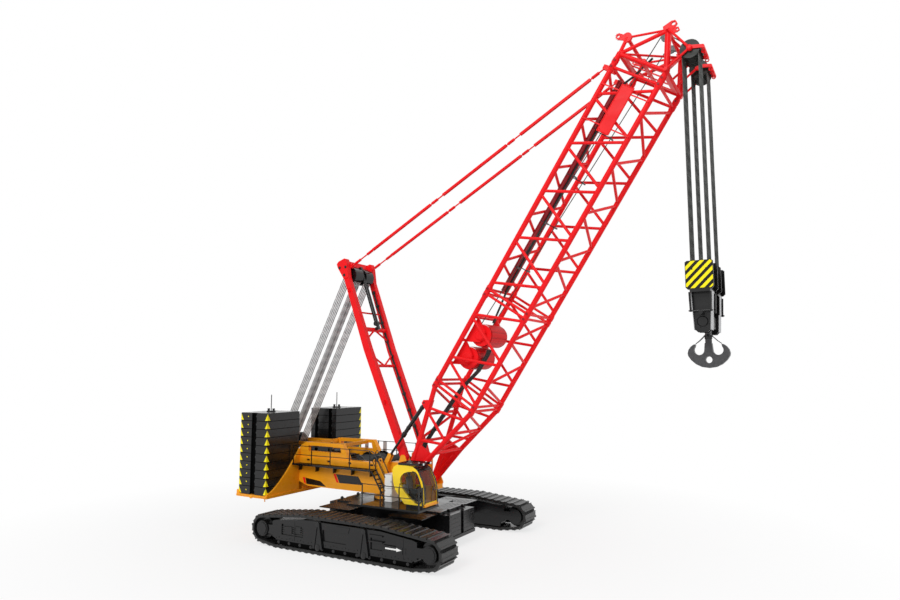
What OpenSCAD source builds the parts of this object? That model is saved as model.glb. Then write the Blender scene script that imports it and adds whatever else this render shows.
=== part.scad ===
// Crawler crane with a lattice boom, in millimetres at full size.
// The origin is on the ground under the slewing axis; X points ahead, Y to the left and Z up.

/* [Part] */
// Which named piece to build, or all of them
// Facets on a round piece
round_n = 28; // [16:4:48]

/* [Tracks] */
// Distance between the end wheels of one track
track_base = 10500; // [9000:50:12000]
// Height of the end wheels' centres
hub_z = 870; // [700:5:1000]
// Middle of each track from the centre line
track_y = 4655; // [4000:5:5200]
// Width of a track shoe
shoe_w = 1470; // [1000:10:1600]
// Shoes in one track
shoes = 58; // [50:1:70]
// Half the flat length on the ground
flat_half = 4300; // [3500:50:4800]
// Half the level length of the upper run
top_half = 2500; // [1500:50:3500]
// Height of the upper run's link line
top_z = 1770; // [1600:5:1900]

/* [Car body] */
// Top of the car body's deck
deck_z = 1870; // [1750:5:1950]
// Front face of the car-body weights
weight_x = 4000; // [3600:10:4400]
// Half width of the car-body weights
weight_y = 1360; // [1100:10:1600]

/* [Upperworks] */
// Half width of the main frame
frame_y = 1690; // [1500:10:1800]
// Underside of the main frame
frame_z = 2540; // [2400:10:2700]
// Top of the main frame's side beams
frame_top = 4190; // [4100:10:4300]
// Top of the side walkways
walk_z = 3840; // [3600:10:3950]
// Rear end of the main frame
frame_back = -6150; // [-6500:10:-5600]

/* [Counterweight] */
// Rear face of the stacks
stack_x0 = -8310; // [-8700:10:-7900]
// Front face of the stacks
stack_x1 = -6200; // [-6400:10:-6000]
// Inner face of a stack
stack_y0 = 1690; // [1600:10:1900]
// Outer face of a stack
stack_y1 = 4260; // [3800:10:4500]
// Underside of the lowest slab
stack_z = 2270; // [2150:10:2400]
// Height of one slab
slab_h = 457; // [400:1:500]
// Slabs in one stack
slabs = 10; // [6:1:12]

/* [Boom] */
// Boom angle above level at rest
boom_angle = 57; // [30:0.5:84]
// Boom foot pin ahead of the slewing axis
foot_x = 1400; // [1200:10:1700]
// Boom foot pin above the ground
foot_z = 3150; // [2900:10:3400]
// Half the width between chord centres
chord_y = 1520; // [1300:10:1700]
// Under chord below the boom line
chord_lo = -1215; // [-1400:5:-1000]
// Upper chord above the boom line
chord_hi = 1360; // [1100:5:1500]
// Chord tube diameter
chord_d = 270; // [220:5:300]
// Lacing tube diameter
lace_d = 150; // [100:5:160]
// End of the tapered foot section
butt_end = 5660; // [5000:10:6200]
// End of the inserted section
insert_end = 11220; // [10500:10:12000]
// End of the top section's chords
top_end = 23890; // [23000:10:24000]

/* [Mast] */
// Mast foot pin ahead of the slewing axis
mast_x = 1000; // [800:10:1200]
// Mast foot pin above the ground
mast_z = 4520; // [4300:10:4700]
// Half the width between the mast's legs
mast_y = 1070; // [1000:10:1100]
// Mast angle above level at rest
mast_angle = 109.8; // [100:0.1:120]
// Mast length from foot pin to the top plate
mast_len = 12150; // [11600:10:12700]
// Middle of the mast's legs behind the foot pin
mast_off = 380; // [200:10:450]

/* [Luffing gear] */
// Rear rope sheaves behind the slewing axis
rope_x = -8300; // [-8500:10:-7600]
// Rear rope sheaves above the ground
rope_z = 4850; // [4600:10:5100]
// Groove radius of the luffing sheaves
luff_r = 400; // [250:5:420]
// Spacing of the luffing ropes
luff_gap = 145; // [125:5:160]
// Pendants from the centre line
pend_y = 960; // [930:5:1000]

/* [Hook] */
// Head sheave axle ahead of the slewing axis
head_x = 16790; // [16000:10:17500]
// Head sheave axle above the ground
head_z = 23730; // [23000:10:24500]
// Middle of each sheave pack from the centre line
pack_y = 1150; // [900:10:1300]
// Groove radius of the sheaves
groove_r = 350; // [300:5:420]
// Hook block's sheave axle above the ground
block_z = 13380; // [12500:10:14000]

/* [Cab] */
// Rear of the cab
cab_x0 = 1600; // [1400:10:1800]
// Front of the cab
cab_x1 = 3560; // [3400:10:3700]
// Outer side of the cab
cab_y0 = -3100; // [-3300:10:-2900]
// Inner side of the cab
cab_y1 = -1800; // [-1900:10:-1780]
// Cab floor
cab_z0 = 2490; // [2400:10:2600]
// Cab roof
cab_z1 = 4400; // [4200:10:4600]

/* [Hidden] */
$fn = round_n;
// Clearance at every seat and joint face
fit = 0.3;
hub_x = track_base / 2;
link_r = 620;
shoe_t = 120;
link_z = shoe_t;
link_t = 55;
wall_t = 100;
ring_r = 1500;
ring_h = 320;
roller_r = 130;
roller_z = link_z + link_t + roller_r + fit;

// Places of the luffing ropes on each side, and the backstops' lower pins
luff_ys = [for (k = [0 : 4]) 200 + k * luff_gap];
stop_e = [350, 4640];

// A box between two corners
module box(x0, x1, y0, y1, z0, z1) translate([x0, y0, z0]) cube([x1 - x0, y1 - y0, z1 - z0]);
// A round bar between two points
module rod(p, q, d) {
  v = q - p;
  translate(p) rotate([0, acos(v[2] / norm(v)), atan2(v[1], v[0])]) cylinder(h = norm(v), d = d);
}
// A square bar between two points
module bar(p, q, a) {
  v = q - p;
  translate(p) rotate([0, acos(v[2] / norm(v)), atan2(v[1], v[0])])
    translate([-a / 2, -a / 2, 0]) cube([a, a, norm(v)]);
}
// A plate with its outline in X and Z
module slab_y(pts, y0, y1) translate([0, y1, 0]) rotate([90, 0, 0]) linear_extrude(y1 - y0) polygon(pts);
// A plate with its outline in Y and Z
module slab_x(pts, x0, x1) translate([x0, 0, 0]) rotate([90, 0, 90]) linear_extrude(x1 - x0) polygon(pts);
// A disc with its axle along Y
module disc(x, z, r, y0, y1) translate([x, y1, z]) rotate([90, 0, 0]) cylinder(h = y1 - y0, r = r);
// A sheave whose groove holds a rope of diameter d at radius r
module sheave(x, z, y, r, d) {
  disc(x, z, r - d / 2 - fit, y - d / 2 - 35, y + d / 2 + 35);
  for (k = [-1, 1]) disc(x, z, r + 90, y + k * (d / 2 + 20) - 15, y + k * (d / 2 + 20) + 15);
}
// The same piece on both sides
module both() { children(); mirror([0, 1, 0]) children(); }
// Places a piece on the boom: X along it from the foot pin, Z out of its back
module on_boom() translate([foot_x, 0, foot_z]) rotate([0, -boom_angle, 0]) children();
// Places a piece on the mast: X along it from the foot pin, Z out of its rear face
module on_mast() translate([mast_x, 0, mast_z]) rotate([0, -mast_angle, 0]) children();

// Track loop: straight runs and end arcs, followed by length
lo_p = [flat_half, link_z];
hi_p = [top_half, top_z];
hub_p = [hub_x, hub_z];
function ang(v) = atan2(v[1], v[0]);
lo_t = let(v = lo_p - hub_p) ang(v) + acos(link_r / norm(v));
hi_t = let(v = hi_p - hub_p) ang(v) - acos(link_r / norm(v));
function wheel_pt(a) = hub_p + link_r * [cos(a), sin(a)];
arc_lo = lo_t > 180 ? lo_t - 360 : lo_t;
arc_hi = hi_t;
len_a = 2 * flat_half;
len_b = norm(wheel_pt(arc_lo) - lo_p);
len_c = link_r * (arc_hi - arc_lo) * PI / 180;
len_d = norm(hi_p - wheel_pt(arc_hi));
len_e = 2 * top_half;
half_b = len_b; half_c = len_c; half_d = len_d;
loop_len = len_a + len_e + 2 * (half_b + half_c + half_d);
function lerp(p, q, t) = p + (q - p) * t;
function flip(r) = [[-r[0][0], r[0][1]], [-r[1][0], r[1][1]]];
// Point and outward normal on the front half, measured from the end of the ground run
function front(t) =
  t < half_b ? let(d = wheel_pt(arc_lo) - lo_p) [lerp(lo_p, wheel_pt(arc_lo), t / half_b), [d[1], -d[0]] / norm(d)] :
  t < half_b + half_c ? let(a = arc_lo + (t - half_b) / link_r * 180 / PI) [wheel_pt(a), [cos(a), sin(a)]] :
  let(d = hi_p - wheel_pt(arc_hi)) [lerp(wheel_pt(arc_hi), hi_p, (t - half_b - half_c) / half_d), [d[1], -d[0]] / norm(d)];
half_len = half_b + half_c + half_d;
function wrap(t) = t < 0 ? t + loop_len : t >= loop_len ? t - loop_len : t;
function path(t0) = let(t = wrap(t0))
  t < len_a ? [[-flat_half + t, link_z], [0, -1]] :
  t < len_a + half_len ? front(t - len_a) :
  t < len_a + half_len + len_e ? [[top_half - (t - len_a - half_len), top_z], [0, 1]] :
  flip(front(loop_len - t));
pitch = loop_len / shoes;
// The wheels touch the flats of the loop's inner side, three to a shoe
wheel_r = (link_r - link_t) * cos(pitch / 6 / link_r * 180 / PI) - fit;
function shoe(i) = let(r = path((i + 0.5) * pitch), c = r[0], n = r[1], u = [-n[1], n[0]], h = pitch * 0.435, a = path(i * pitch))
  [a[0] + 10 * a[1], c - h * u + 45 * n, c - h * u + shoe_t * n, c - 0.5 * h * u + shoe_t * n, c - 0.36 * h * u + (shoe_t - 38) * n,
   c + 0.7 * h * u + (shoe_t - 38) * n, c + h * u + shoe_t * n, c + h * u + 45 * n];
outer_pts = [for (i = [0 : shoes - 1]) each shoe(i)];
inner_pts = [for (i = [0 : 3 * shoes - 1]) let(r = path(i * pitch / 3)) r[0] - link_t * r[1]];

module track_loop(y) translate([0, y + shoe_w / 2, 0]) rotate([90, 0, 0]) linear_extrude(shoe_w)
  difference() { polygon(outer_pts); polygon(inner_pts); }

// Side frame inside a track
frame_half = shoe_w / 2 - 95;
side_z = roller_z + roller_r + 15;
module side_frame(s) {
  o = s * (track_y + frame_half); i = s * (track_y - frame_half);
  lo = min(o, i); hi = max(o, i);
  e = hub_x - wheel_r - 130;
  t = top_z - link_t - 125;
  difference() {
    slab_y([[-e, side_z + 100], [-flat_half, side_z], [flat_half, side_z], [e, side_z + 100], [e, t - 260], [flat_half, t - 190],
      [top_half, t], [-top_half, t], [-flat_half, t - 190], [-e, t - 260]], lo, hi);
    // Recesses in the outer face
    for (x = [-3900, -1100, 1900])
      slab_y([[x, 700], [x + 1500, 700], [x + 1500, 1250], [x, 1250]], min(o, o - s * 60), max(o, o - s * 60));
  }
  // Skirts that hold the rollers
  for (y = [o - s * 70, i]) box(-flat_half, flat_half, min(y, y + s * 70), max(y, y + s * 70), roller_z - 90, side_z + 10);
  // Supports on the outer face
  for (x = [-1370, 1530]) slab_y([[x - 300, side_z + 10], [x + 300, side_z + 10], [x + 110, t - 30], [x - 110, t - 30]],
    min(o, o + s * 60), max(o, o + s * 60));
  // Steps
  for (z = [1060, 1340]) box(1820, 2640, min(o - s * 70, o + s * 70), max(o - s * 70, o + s * 70), z, z + 60);
}
module wheels(s) {
  o = frame_half + 50;
  for (x = [-hub_x, hub_x]) {
    disc(x, hub_z, wheel_r, s * track_y - 420, s * track_y + 420);
    disc(x, hub_z, 400, min(s * (track_y - frame_half), s * (track_y + o)), max(s * (track_y - frame_half), s * (track_y + o)));
    disc(x, hub_z, 320, min(s * (track_y + o), s * (track_y + o + 50)), max(s * (track_y + o), s * (track_y + o + 50)));
    // Carriers that hold the wheel to the side frame
    for (y = [-frame_half, frame_half - 80]) box(x > 0 ? hub_x - wheel_r - 130 : -hub_x, x > 0 ? hub_x : -hub_x + wheel_r + 130,
      s * track_y + y, s * track_y + y + 80, hub_z - 230, hub_z + 230);
  }
  for (k = [0 : 11]) let(x = -flat_half + 230 + k * (flat_half * 2 - 460) / 11) {
    disc(x, roller_z, roller_r, s * track_y - 300, s * track_y + 300);
    disc(x, roller_z, 45, s * track_y - frame_half + 70, s * track_y + frame_half - 70);
  }
}

module car_body() color([0.29, 0.29, 0.29]) {
  difference() {
    union() {
      box(-2350, 2350, -1900, 1900, 650, deck_z);
      for (x = [-2350, 1250]) box(x, x + 1100, -track_y + frame_half, track_y - frame_half, 700, top_z - link_t - 25);
    }
    box(-1150, 1150, -1300, 1300, 640, 1100);
  }
  // Decks with walkways
  for (s = [-1, 1]) {
    box(min(s * 2350, s * 3450), max(s * 2350, s * 3450), -1360, 1360, 1750, deck_z);
    box(min(s * 1250, s * 3350), max(s * 1250, s * 3350), 1360, 3000, 1750, 1800);
    box(min(s * 1250, s * 3350), max(s * 1250, s * 3350), -3000, -1360, 1750, 1800);
  }
}
module slew_ring() color([0.2, 0.2, 0.2]) {
  difference() {
    translate([0, 0, deck_z]) cylinder(h = ring_h, r = ring_r);
    translate([0, 0, deck_z - 1]) cylinder(h = 400, r = 1100);
  }
}
module weight(s) color([0.27, 0.27, 0.27]) {
  for (k = [0 : 4]) for (y = [-weight_y, 130])
    box(min(s * 2350, s * weight_x), max(s * 2350, s * weight_x), y, y + weight_y - 130, 640 + k * 222, 640 + k * 222 + 217 + 5);
  box(min(s * 2350, s * (weight_x + 60)), max(s * 2350, s * (weight_x + 60)), -weight_y, weight_y, 470, 640);
  // Locking post between the piles
  box(min(s * 3400, s * (weight_x - 120)), max(s * 3400, s * (weight_x - 120)), -130, 130, 640, 1745);
}
module weight_front() weight(1);
module weight_rear() weight(-1);
module track_frame_right() color([0.27, 0.27, 0.27]) side_frame(-1);
module track_frame_left() color([0.27, 0.27, 0.27]) side_frame(1);
module track_right() color([0.22, 0.22, 0.22]) track_loop(-track_y);
module track_left() color([0.22, 0.22, 0.22]) track_loop(track_y);
module track_wheels_right() color([0.3, 0.3, 0.3]) wheels(-1);
module track_wheels_left() color([0.3, 0.3, 0.3]) wheels(1);

module turntable() color([0.95, 0.65, 0.12]) {
  ped_z = mast_z - 270;
  difference() {
    union() {
      // Side beams
      both() box(frame_back, 250, 1330, frame_y, frame_z, frame_top);
      // Floor and bearing plate
      box(frame_back, 1780, -frame_y, frame_y, frame_z, 2800);
      // Bulkheads
      for (x = [frame_back, 250]) box(x, x + 120, -1340, 1340, frame_z, frame_top - 100);
      // Mast pedestals
      both() box(250, 1330, 760, 1340, frame_z, ped_z);
    }
    // Slots in the upper rail
    for (x = [-5430, -3880, -2340, -790]) for (s = [-1, 1]) translate([x, s * frame_y, frame_top - 155]) cube([230, 120, 110], center = true);
    // Lower edge rises to the rear
    both() slab_y([[frame_back - 10, 2500], [-5300, 2500], [frame_back - 10, 2790]], 1200, 1800);
  }
  translate([0, 0, deck_z + ring_h + fit]) cylinder(h = frame_z - deck_z - ring_h - fit, r = ring_r - 20);
  // Mast foot lugs and pins
  both() for (y = [mast_y - foot_half - fit - 60, mast_y + foot_half + fit]) slab_y([[mast_x - 260, ped_z - 10], [mast_x + 260, ped_z - 10],
    [mast_x + 150, mast_z + 70], [mast_x + 70, mast_z + 140], [mast_x - 70, mast_z + 140], [mast_x - 150, mast_z + 70]], y, y + 60);
  both() disc(mast_x, mast_z, 75, mast_y - foot_half - 60, mast_y + foot_half + 60);
  // Boom foot lugs and pins
  both() slab_y([[900, 2790], [1780, 2790], [1780, 2900], [foot_x + 210, foot_z + 130], [foot_x + 90, foot_z + 240],
    [foot_x - 90, foot_z + 240], [foot_x - 210, foot_z + 130]], 1690, 1760);
  both() disc(foot_x, foot_z, 95, 1330, 1770);
  // Backstop seats on the side beams
  both() for (y = [chord_y - 136, chord_y + 76]) slab_y([[-30, frame_top - 10], [250, frame_top - 10], [stop_e[0] + 130, stop_e[1] - 30],
    [stop_e[0] + 60, stop_e[1] + 110], [stop_e[0] - 60, stop_e[1] + 110], [stop_e[0] - 130, stop_e[1] - 30]], y, y + 60);
  // Lifting eyes on the side beams
  both() for (e = [[-620, 80], [-200, 130]]) difference() {
    union() {
      disc(e[0], frame_top + e[1], e[1], frame_y - 70, frame_y);
      box(e[0] - e[1], e[0] + e[1], frame_y - 70, frame_y, frame_top - 10, frame_top + e[1]);
    }
    disc(e[0], frame_top + e[1], e[1] * 0.55, frame_y - 80, frame_y + 10);
  }
}
module winch_drums() color([0.16, 0.16, 0.16]) {
  // Each drum by its place ahead, its height and its flange radius
  for (d = [[-645, 3980, 540], [-2100, 3930, 550], [-3250, 3830, 500]]) {
    disc(d[0], d[1], d[2] - 170, -1250, 1250);
    for (y = [-1250, 1190]) disc(d[0], d[1], d[2], y, y + 60);
    disc(d[0], d[1], 120, -1330, 1330);
  }
}
module rear_frame() color([0.95, 0.65, 0.12]) {
  top = frame_top + 860;
  both() difference() {
    slab_y([[frame_back, frame_top], [-2480, frame_top], [-2640, frame_top + 400], [-2940, top], [-5700, top], [frame_back, top - 260]], 1330, 1640);
    slab_y([[-5480, frame_top + 340], [-3000, frame_top + 340], [-3080, top - 190], [-5480, top - 190]], 1300, 1700);
  }
  for (x = [-5800, -3500]) box(x, x + 160, -1340, 1340, top - 230, top - 40);
  // Arms that carry the rear rope sheaves
  both() slab_y([[-5660, top - 230], [-5660, top - 60], [rope_x, rope_z + 150], [rope_x - 140, rope_z + 60], [rope_x - 140, rope_z - 60], [rope_x, rope_z - 150]], arm_y, arm_y + 70);
}
// The luffing sheaves' inner ends and the arms beside them
arm_y = luff_ys[4] + 160;
module luff_sheaves() color([0.12, 0.12, 0.12]) {
  disc(rope_x, rope_z, 70, -arm_y + fit, arm_y - fit);
  both() for (y = luff_ys) sheave(rope_x, rope_z, y, luff_r, 40);
}
module engine_block() color([0.25, 0.25, 0.25]) box(-5650, -3850, -1150, 1150, 2800, frame_top + 10);

module counterweight_tray() color([0.95, 0.62, 0.1]) {
  box(stack_x0 - 120, stack_x1 + 150, -stack_y1 - 60, stack_y1 + 60, stack_z - 150, stack_z);
  // Curved front walls that rise to the main frame
  both() slab_x(concat([[stack_y0, stack_z - 150]], [[stack_y1, stack_z - 150]],
    [for (t = [0 : 0.1 : 1]) [stack_y1 + (stack_y0 - stack_y1) * t, stack_z + 60 + 2350 * pow(t, 1.45)]]), stack_x1, stack_x1 + wall_t);
  box(stack_x1 - 300, frame_back, -1320, 1320, stack_z - 10, 2700);
}
module stack(s) color([0.27, 0.27, 0.27]) {
  m = (stack_x0 + stack_x1) / 2;
  w = stack_x1 - stack_x0;
  for (k = [0 : slabs - 1]) let(z = stack_z + k * slab_h, a = s * stack_y0, b = s * stack_y1)
    difference() {
      box(stack_x0, stack_x1, min(a, b), max(a, b), z, z + slab_h);
      // Lifting slots in the outer face and in the inner face
      box(m - 190, m + 190, min(b - s * 120, b + s * 10), max(b - s * 120, b + s * 10), z - 1, z + slab_h + 1);
      for (x = [m - w * 0.27, m + w * 0.27]) box(x - 140, x + 140, min(a - s * 10, a + s * 100), max(a - s * 10, a + s * 100), z - 1, z + slab_h + 1);
      // Joint line
      difference() {
        box(stack_x0 - 10, stack_x1 + 10, min(a, b) - 10, max(a, b) + 10, z + slab_h - 16, z + slab_h + 1);
        box(stack_x0 + 14, stack_x1 - 14, min(a, b) + 14, max(a, b) - 14, z + slab_h - 17, z + slab_h + 2);
      }
    }
  // Lifting fitting and rod on the top
  let(z = stack_z + slabs * slab_h, y = s * 2975) {
    box(m - 240, m + 240, y - 130, y + 130, z - 5, z + 60);
    for (x = [m - 240, m + 160]) box(x, x + 80, y - 60, y + 60, z + 50, z + 200);
    rod([m, y, z + 50], [m, y, z + 1000], 50);
  }
}
module counterweight_right() stack(-1);
module counterweight_left() stack(1);

// Cab outline and its side window in X and Z; grow() moves each point away from the middle
cab_c = [cab_x1 - 900, (cab_z0 + cab_z1) / 2];
function grow(pts, g) = [for (p = pts) p + g * (p - cab_c) / norm(p - cab_c)];
cab_pts = [[cab_x0 + 760, cab_z0], [cab_x1 - 20, cab_z0], [cab_x1, cab_z0 + 80], [cab_x1, cab_z0 + 500], [cab_x1 - 30, cab_z0 + 800],
  [cab_x1 - 124, cab_z0 + 1170], [cab_x1 - 380, cab_z1 - 270], [cab_x1 - 450, cab_z1 - 180], [cab_x1 - 680, cab_z1 - 40],
  [cab_x1 - 1150, cab_z1], [cab_x0 + 260, cab_z1], [cab_x0 + 90, cab_z1 - 90], [cab_x0, cab_z1 - 260], [cab_x0, cab_z1 - 425],
  [cab_x0 + 58, cab_z1 - 884], [cab_x0 + 182, cab_z0 + 653], [cab_x0 + 448, cab_z0 + 332]];
win_pts = [[cab_x1 - 1427, cab_z0 + 1218], [cab_x1 - 1390, cab_z0 + 1000], [cab_x1 - 1260, cab_z0 + 740], [cab_x1 - 1138, cab_z0 + 613], [cab_x1 - 809, cab_z0 + 321],
  [cab_x1 - 560, cab_z0 + 180], [cab_x1 - 346, cab_z0 + 130], [cab_x1 - 200, cab_z0 + 170], [cab_x1 - 125, cab_z0 + 331], [cab_x1 - 145, cab_z0 + 640],
  [cab_x1 - 175, cab_z0 + 830], [cab_x1 - 300, cab_z0 + 1190], [cab_x1 - 410, cab_z0 + 1450], [cab_x1 - 517, cab_z0 + 1580], [cab_x1 - 700, cab_z0 + 1625],
  [cab_x1 - 959, cab_z0 + 1600], [cab_x1 - 1200, cab_z0 + 1520], [cab_x1 - 1360, cab_z0 + 1380]];
cab_t = 70;
module oval(y0, y1, g) slab_y(grow(win_pts, g), y0, y1);
// Openings of the windscreen and the rear window
module screen() slab_x([[cab_y0 + 100, cab_z0 + 110], [cab_y1 - 100, cab_z0 + 110], [cab_y1 - 100, cab_z1 - 250], [cab_y0 + 100, cab_z1 - 250]], cab_x1 - 520, cab_x1 + 100);
module rear_light() slab_x([[cab_y0 + 250, cab_z0 + 900], [cab_y1 - 250, cab_z0 + 900], [cab_y1 - 250, cab_z1 - 350], [cab_y0 + 250, cab_z1 - 350]], cab_x0 - 50, cab_x0 + 200);
module side_light(y0, y1) slab_y([[cab_x1 - 1400, cab_z0 + 800], [cab_x1 - 320, cab_z0 + 800], [cab_x1 - 480, cab_z1 - 330], [cab_x1 - 1300, cab_z1 - 330]], y0, y1);
module cab_shell() color([0.97, 0.72, 0.12]) difference() {
  slab_y(cab_pts, cab_y0, cab_y1);
  // Room inside, with a level floor
  intersection() {
    slab_y(grow(cab_pts, -cab_t), cab_y0 + cab_t, cab_y1 - cab_t);
    box(cab_x0, cab_x1, cab_y0, cab_y1, cab_z0 + cab_t, cab_z1);
  }
  // Doorway
  oval(cab_y0 - 10, cab_y0 + cab_t + 10, 20);
  side_light(cab_y1 - cab_t - 10, cab_y1 + 10);
  screen();
  rear_light();
}
module cab_glass() color([0.35, 0.38, 0.42]) {
  intersection() {
    difference() { slab_y(grow(cab_pts, -20), cab_y0 + 101, cab_y1 - 101); slab_y(grow(cab_pts, -45), cab_y0, cab_y1); }
    union() { screen(); rear_light(); }
  }
  side_light(cab_y1 - 50, cab_y1 - 25);
}
module cab_seat() color([0.4, 0.4, 0.42]) {
  z = cab_z0 + cab_t + fit;
  box(2440, 2780, -2660, -2240, z, z + 355);
  box(2230, 2860, -2750, -2150, z + 350, z + 490);
  slab_y([[2200, z + 480], [2390, z + 480], [2280, z + 1230], [2140, z + 1230]], -2720, -2180);
  slab_y([[2150, z + 1230], [2270, z + 1230], [2250, z + 1430], [2150, z + 1430]], -2580, -2320);
  // Arm consoles
  for (y = [-2900, -2130]) box(2500, 2920, y, y + 130, z, z + 700);
}
module cab_roof_guard() color([0.18, 0.18, 0.18]) {
  for (y = [cab_y0 + 90, cab_y1 - 150]) box(cab_x0 + 300, cab_x1 - 1150, y, y + 60, cab_z1, cab_z1 + 110);
  for (y = [cab_y0 + 90, cab_y1 - 150]) box(cab_x1 - 1210, cab_x1 - 420, y, y + 60, cab_z1 + 20, cab_z1 + 110);
  for (x = [cab_x0 + 300, cab_x0 + 520, cab_x0 + 740, cab_x0 + 960, cab_x0 + 1180, cab_x0 + 1400, cab_x1 - 420]) box(x, x + 60, cab_y0 + 90, cab_y1 - 90, cab_z1 + 40, cab_z1 + 110);
  // Lamps
  for (y = [cab_y0 + 200, cab_y1 - 420]) box(cab_x1 - 370, cab_x1 - 250, y, y + 220, cab_z1 + 20, cab_z1 + 150);
}
module cab_door() color([0.97, 0.72, 0.12]) difference() {
  oval(cab_y0 - 40 - fit, cab_y0 - fit, 75);
  oval(cab_y0 - 60, cab_y0, 0);
}
module cab_door_glass() color([0.35, 0.38, 0.42]) oval(cab_y0 - 34, cab_y0 - 8, 0);
module cab_platform() color([0.3, 0.3, 0.3]) {
  box(0, 3560, -3620, -1700, 2230, 2330);
  box(cab_x0 + 800, cab_x1 - 100, -3000, -1900, 2330, cab_z0);
  box(900, 1100, -1720, -1690, 2330, 2700);
  // Cabinet behind the cab
  box(640, 1100, -2420, -1800, 2330, 3750);
}
module walkway(s) {
  a = s * 1690; b = s * 2330;
  box(stack_x1 + wall_t, -400, min(a, b), max(a, b), walk_z - 60, walk_z);
  for (x = [-5900, -4600, -3300, -2000, -700])
    slab_y([[x, walk_z - 60], [x + 60, walk_z - 60], [x + 60, walk_z - 140], [x, walk_z - 400]], s > 0 ? 1690 : -1990, s > 0 ? 1990 : -1690);
}
module walkway_right() color([0.25, 0.25, 0.25]) {
  walkway(-1);
  // Ladder down to the cab platform, cut level at its foot
  p = [-380, walk_z - 30]; q = [560, 2330];
  difference() {
    for (y = [-2250, -1830]) bar([p[0], y, p[1]], [q[0] + 40, y, q[1] - 57], 60);
    box(0, 1000, -2400, -1700, 2100, 2330 + fit);
  }
  for (k = [1 : 6]) let(r = lerp(p, q, k / 7)) box(r[0] - 60, r[0] + 120, -2250, -1830, r[1] - 20, r[1] + 20);
}
module walkway_left() color([0.25, 0.25, 0.25]) walkway(1);
module rail(p, q, z0) {
  n = max(1, round(norm(q - p) / 1250));
  u = (q - p) / norm(q - p);
  for (h = [550, 1050]) bar([p[0] - 30 * u[0], p[1] - 30 * u[1], z0 + h], [q[0] + 30 * u[0], q[1] + 30 * u[1], z0 + h], 36);
  for (k = [0 : n]) let(r = lerp(p, q, k / n)) box(r[0] - 22, r[0] + 22, r[1] - 22, r[1] + 22, z0, z0 + 1080);
}
module handrails() color([0.2, 0.2, 0.2]) {
  both() rail([stack_x1 + wall_t + 60, 2290], [-480, 2290], walk_z);
  rail([40, -3580], [3520, -3580], 2330);
  rail([3520, -3500], [3520, -3200], 2330);
}

// Boom: one tube by its ends in boom measure
function at(s, y, n) = [s, y, n];
module chords(s0, s1) for (y = [-chord_y, chord_y]) for (n = [chord_lo, chord_hi]) rod(at(s0, y, n), at(s1, y, n), chord_d);
// Zigzag lacing by half bays; first is 0 where the near side starts at the upper chord, else 1
module lacing(s0, halves, half, upper, first) {
  g = 105;
  for (k = [0 : halves - 1]) let(a = s0 + k * half + g, b = s0 + (k + 1) * half - g, e = (k + first) % 2) {
    for (y = [-chord_y, chord_y]) let(up = (e == 0) == (y < 0)) rod(at(a, y, up ? chord_hi : chord_lo), at(b, y, up ? chord_lo : chord_hi), lace_d);
    let(w = (e == 0 ? -1 : 1) * (chord_y - 70)) {
      rod(at(a, w, chord_lo), at(b, -w, chord_lo), lace_d);
      if (upper) rod(at(a, -w, chord_hi), at(b, w, chord_hi), lace_d);
    }
  }
}
// Square end frame with its four corner lugs
module end_frame(s, w) {
  for (n = [chord_lo, chord_hi]) rod(at(s, -chord_y, n), at(s, chord_y, n), w);
  for (y = [-chord_y, chord_y]) rod(at(s, y, chord_lo), at(s, y, chord_hi), w);
}
// Height of the tapered section's chords at a point along it, k is 1 above and -1 below
function taper(s, k) = k > 0 ? 80 + (s - 500) * (chord_hi - 80) / (butt_end - 700) : -80 + (s - 500) * (chord_lo + 80) / (butt_end - 700);
module boom_butt() color([0.95, 0.2, 0.22]) on_boom() {
  for (y = [-chord_y, chord_y]) {
    for (k = [-1, 1]) {
      rod(at(500, y, taper(500, k)), at(butt_end - 200, y, taper(butt_end - 200, k)), chord_d);
      rod(at(butt_end - 320, y, k > 0 ? chord_hi : chord_lo), at(butt_end, y, k > 0 ? chord_hi : chord_lo), chord_d + 30);
    }
    // Foot plate and eye
    difference() {
      union() {
        slab_y([[0, -240], [2300, -620], [2300, 640], [0, 240]], y - 60, y + 60);
        disc(0, 0, 240, y - 110, y + 110);
      }
      disc(0, 0, 95 + fit, y - 130, y + 130);
    }
  }
  for (s = [2380, 3900]) for (k = [-1, 1]) rod(at(s, -chord_y, taper(s, k)), at(s, chord_y, taper(s, k)), 160);
  for (n = [chord_lo, chord_hi]) rod(at(butt_end - 130, -chord_y, n), at(butt_end - 130, chord_y, n), 150);
  for (y = [-chord_y, chord_y]) rod(at(butt_end - 130, y, chord_lo), at(butt_end - 130, y, chord_hi), 150);
  // Backstop brackets
  both() for (y = [chord_y - 170, chord_y + 110]) difference() {
    stop_plate(y, y + 60);
    disc(4340, 1370, 50 + fit, y - 10, y + 70);
  }
}
module stop_plate(y0, y1) slab_y([[4000, 900], [4700, 1060], [4440, 1480], [4240, 1480]], y0, y1);
module boom_butt_lacing() color([0.95, 0.2, 0.22]) on_boom() difference() {
  butt_bars();
  for (y = [-chord_y, chord_y]) for (k = [-1, 1])
    rod(at(500, y, taper(500, k)), at(butt_end + 200, y, taper(butt_end + 200, k)), chord_d + 2 * fit);
  both() stop_plate(chord_y - 170 - fit, chord_y - 110 + fit);
}
module butt_bars() {
  for (y = [-chord_y, chord_y]) {
    rod(at(2480, y, taper(2480, 1)), at(3120, y, taper(3120, -1)), lace_d);
    rod(at(3340, y, taper(3340, -1)), at(4020, y, taper(4020, 1)), lace_d);
    rod(at(4240, y, taper(4240, 1)), at(4900, y, taper(4900, -1)), lace_d);
  }
  for (k = [-1, 1]) {
    rod(at(2540, -chord_y + 60, taper(2540, k)), at(3740, chord_y - 60, taper(3740, k)), lace_d);
    rod(at(4060, chord_y - 60, taper(4060, k)), at(5280, -chord_y + 60, taper(5280, k)), lace_d);
  }
}
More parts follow.
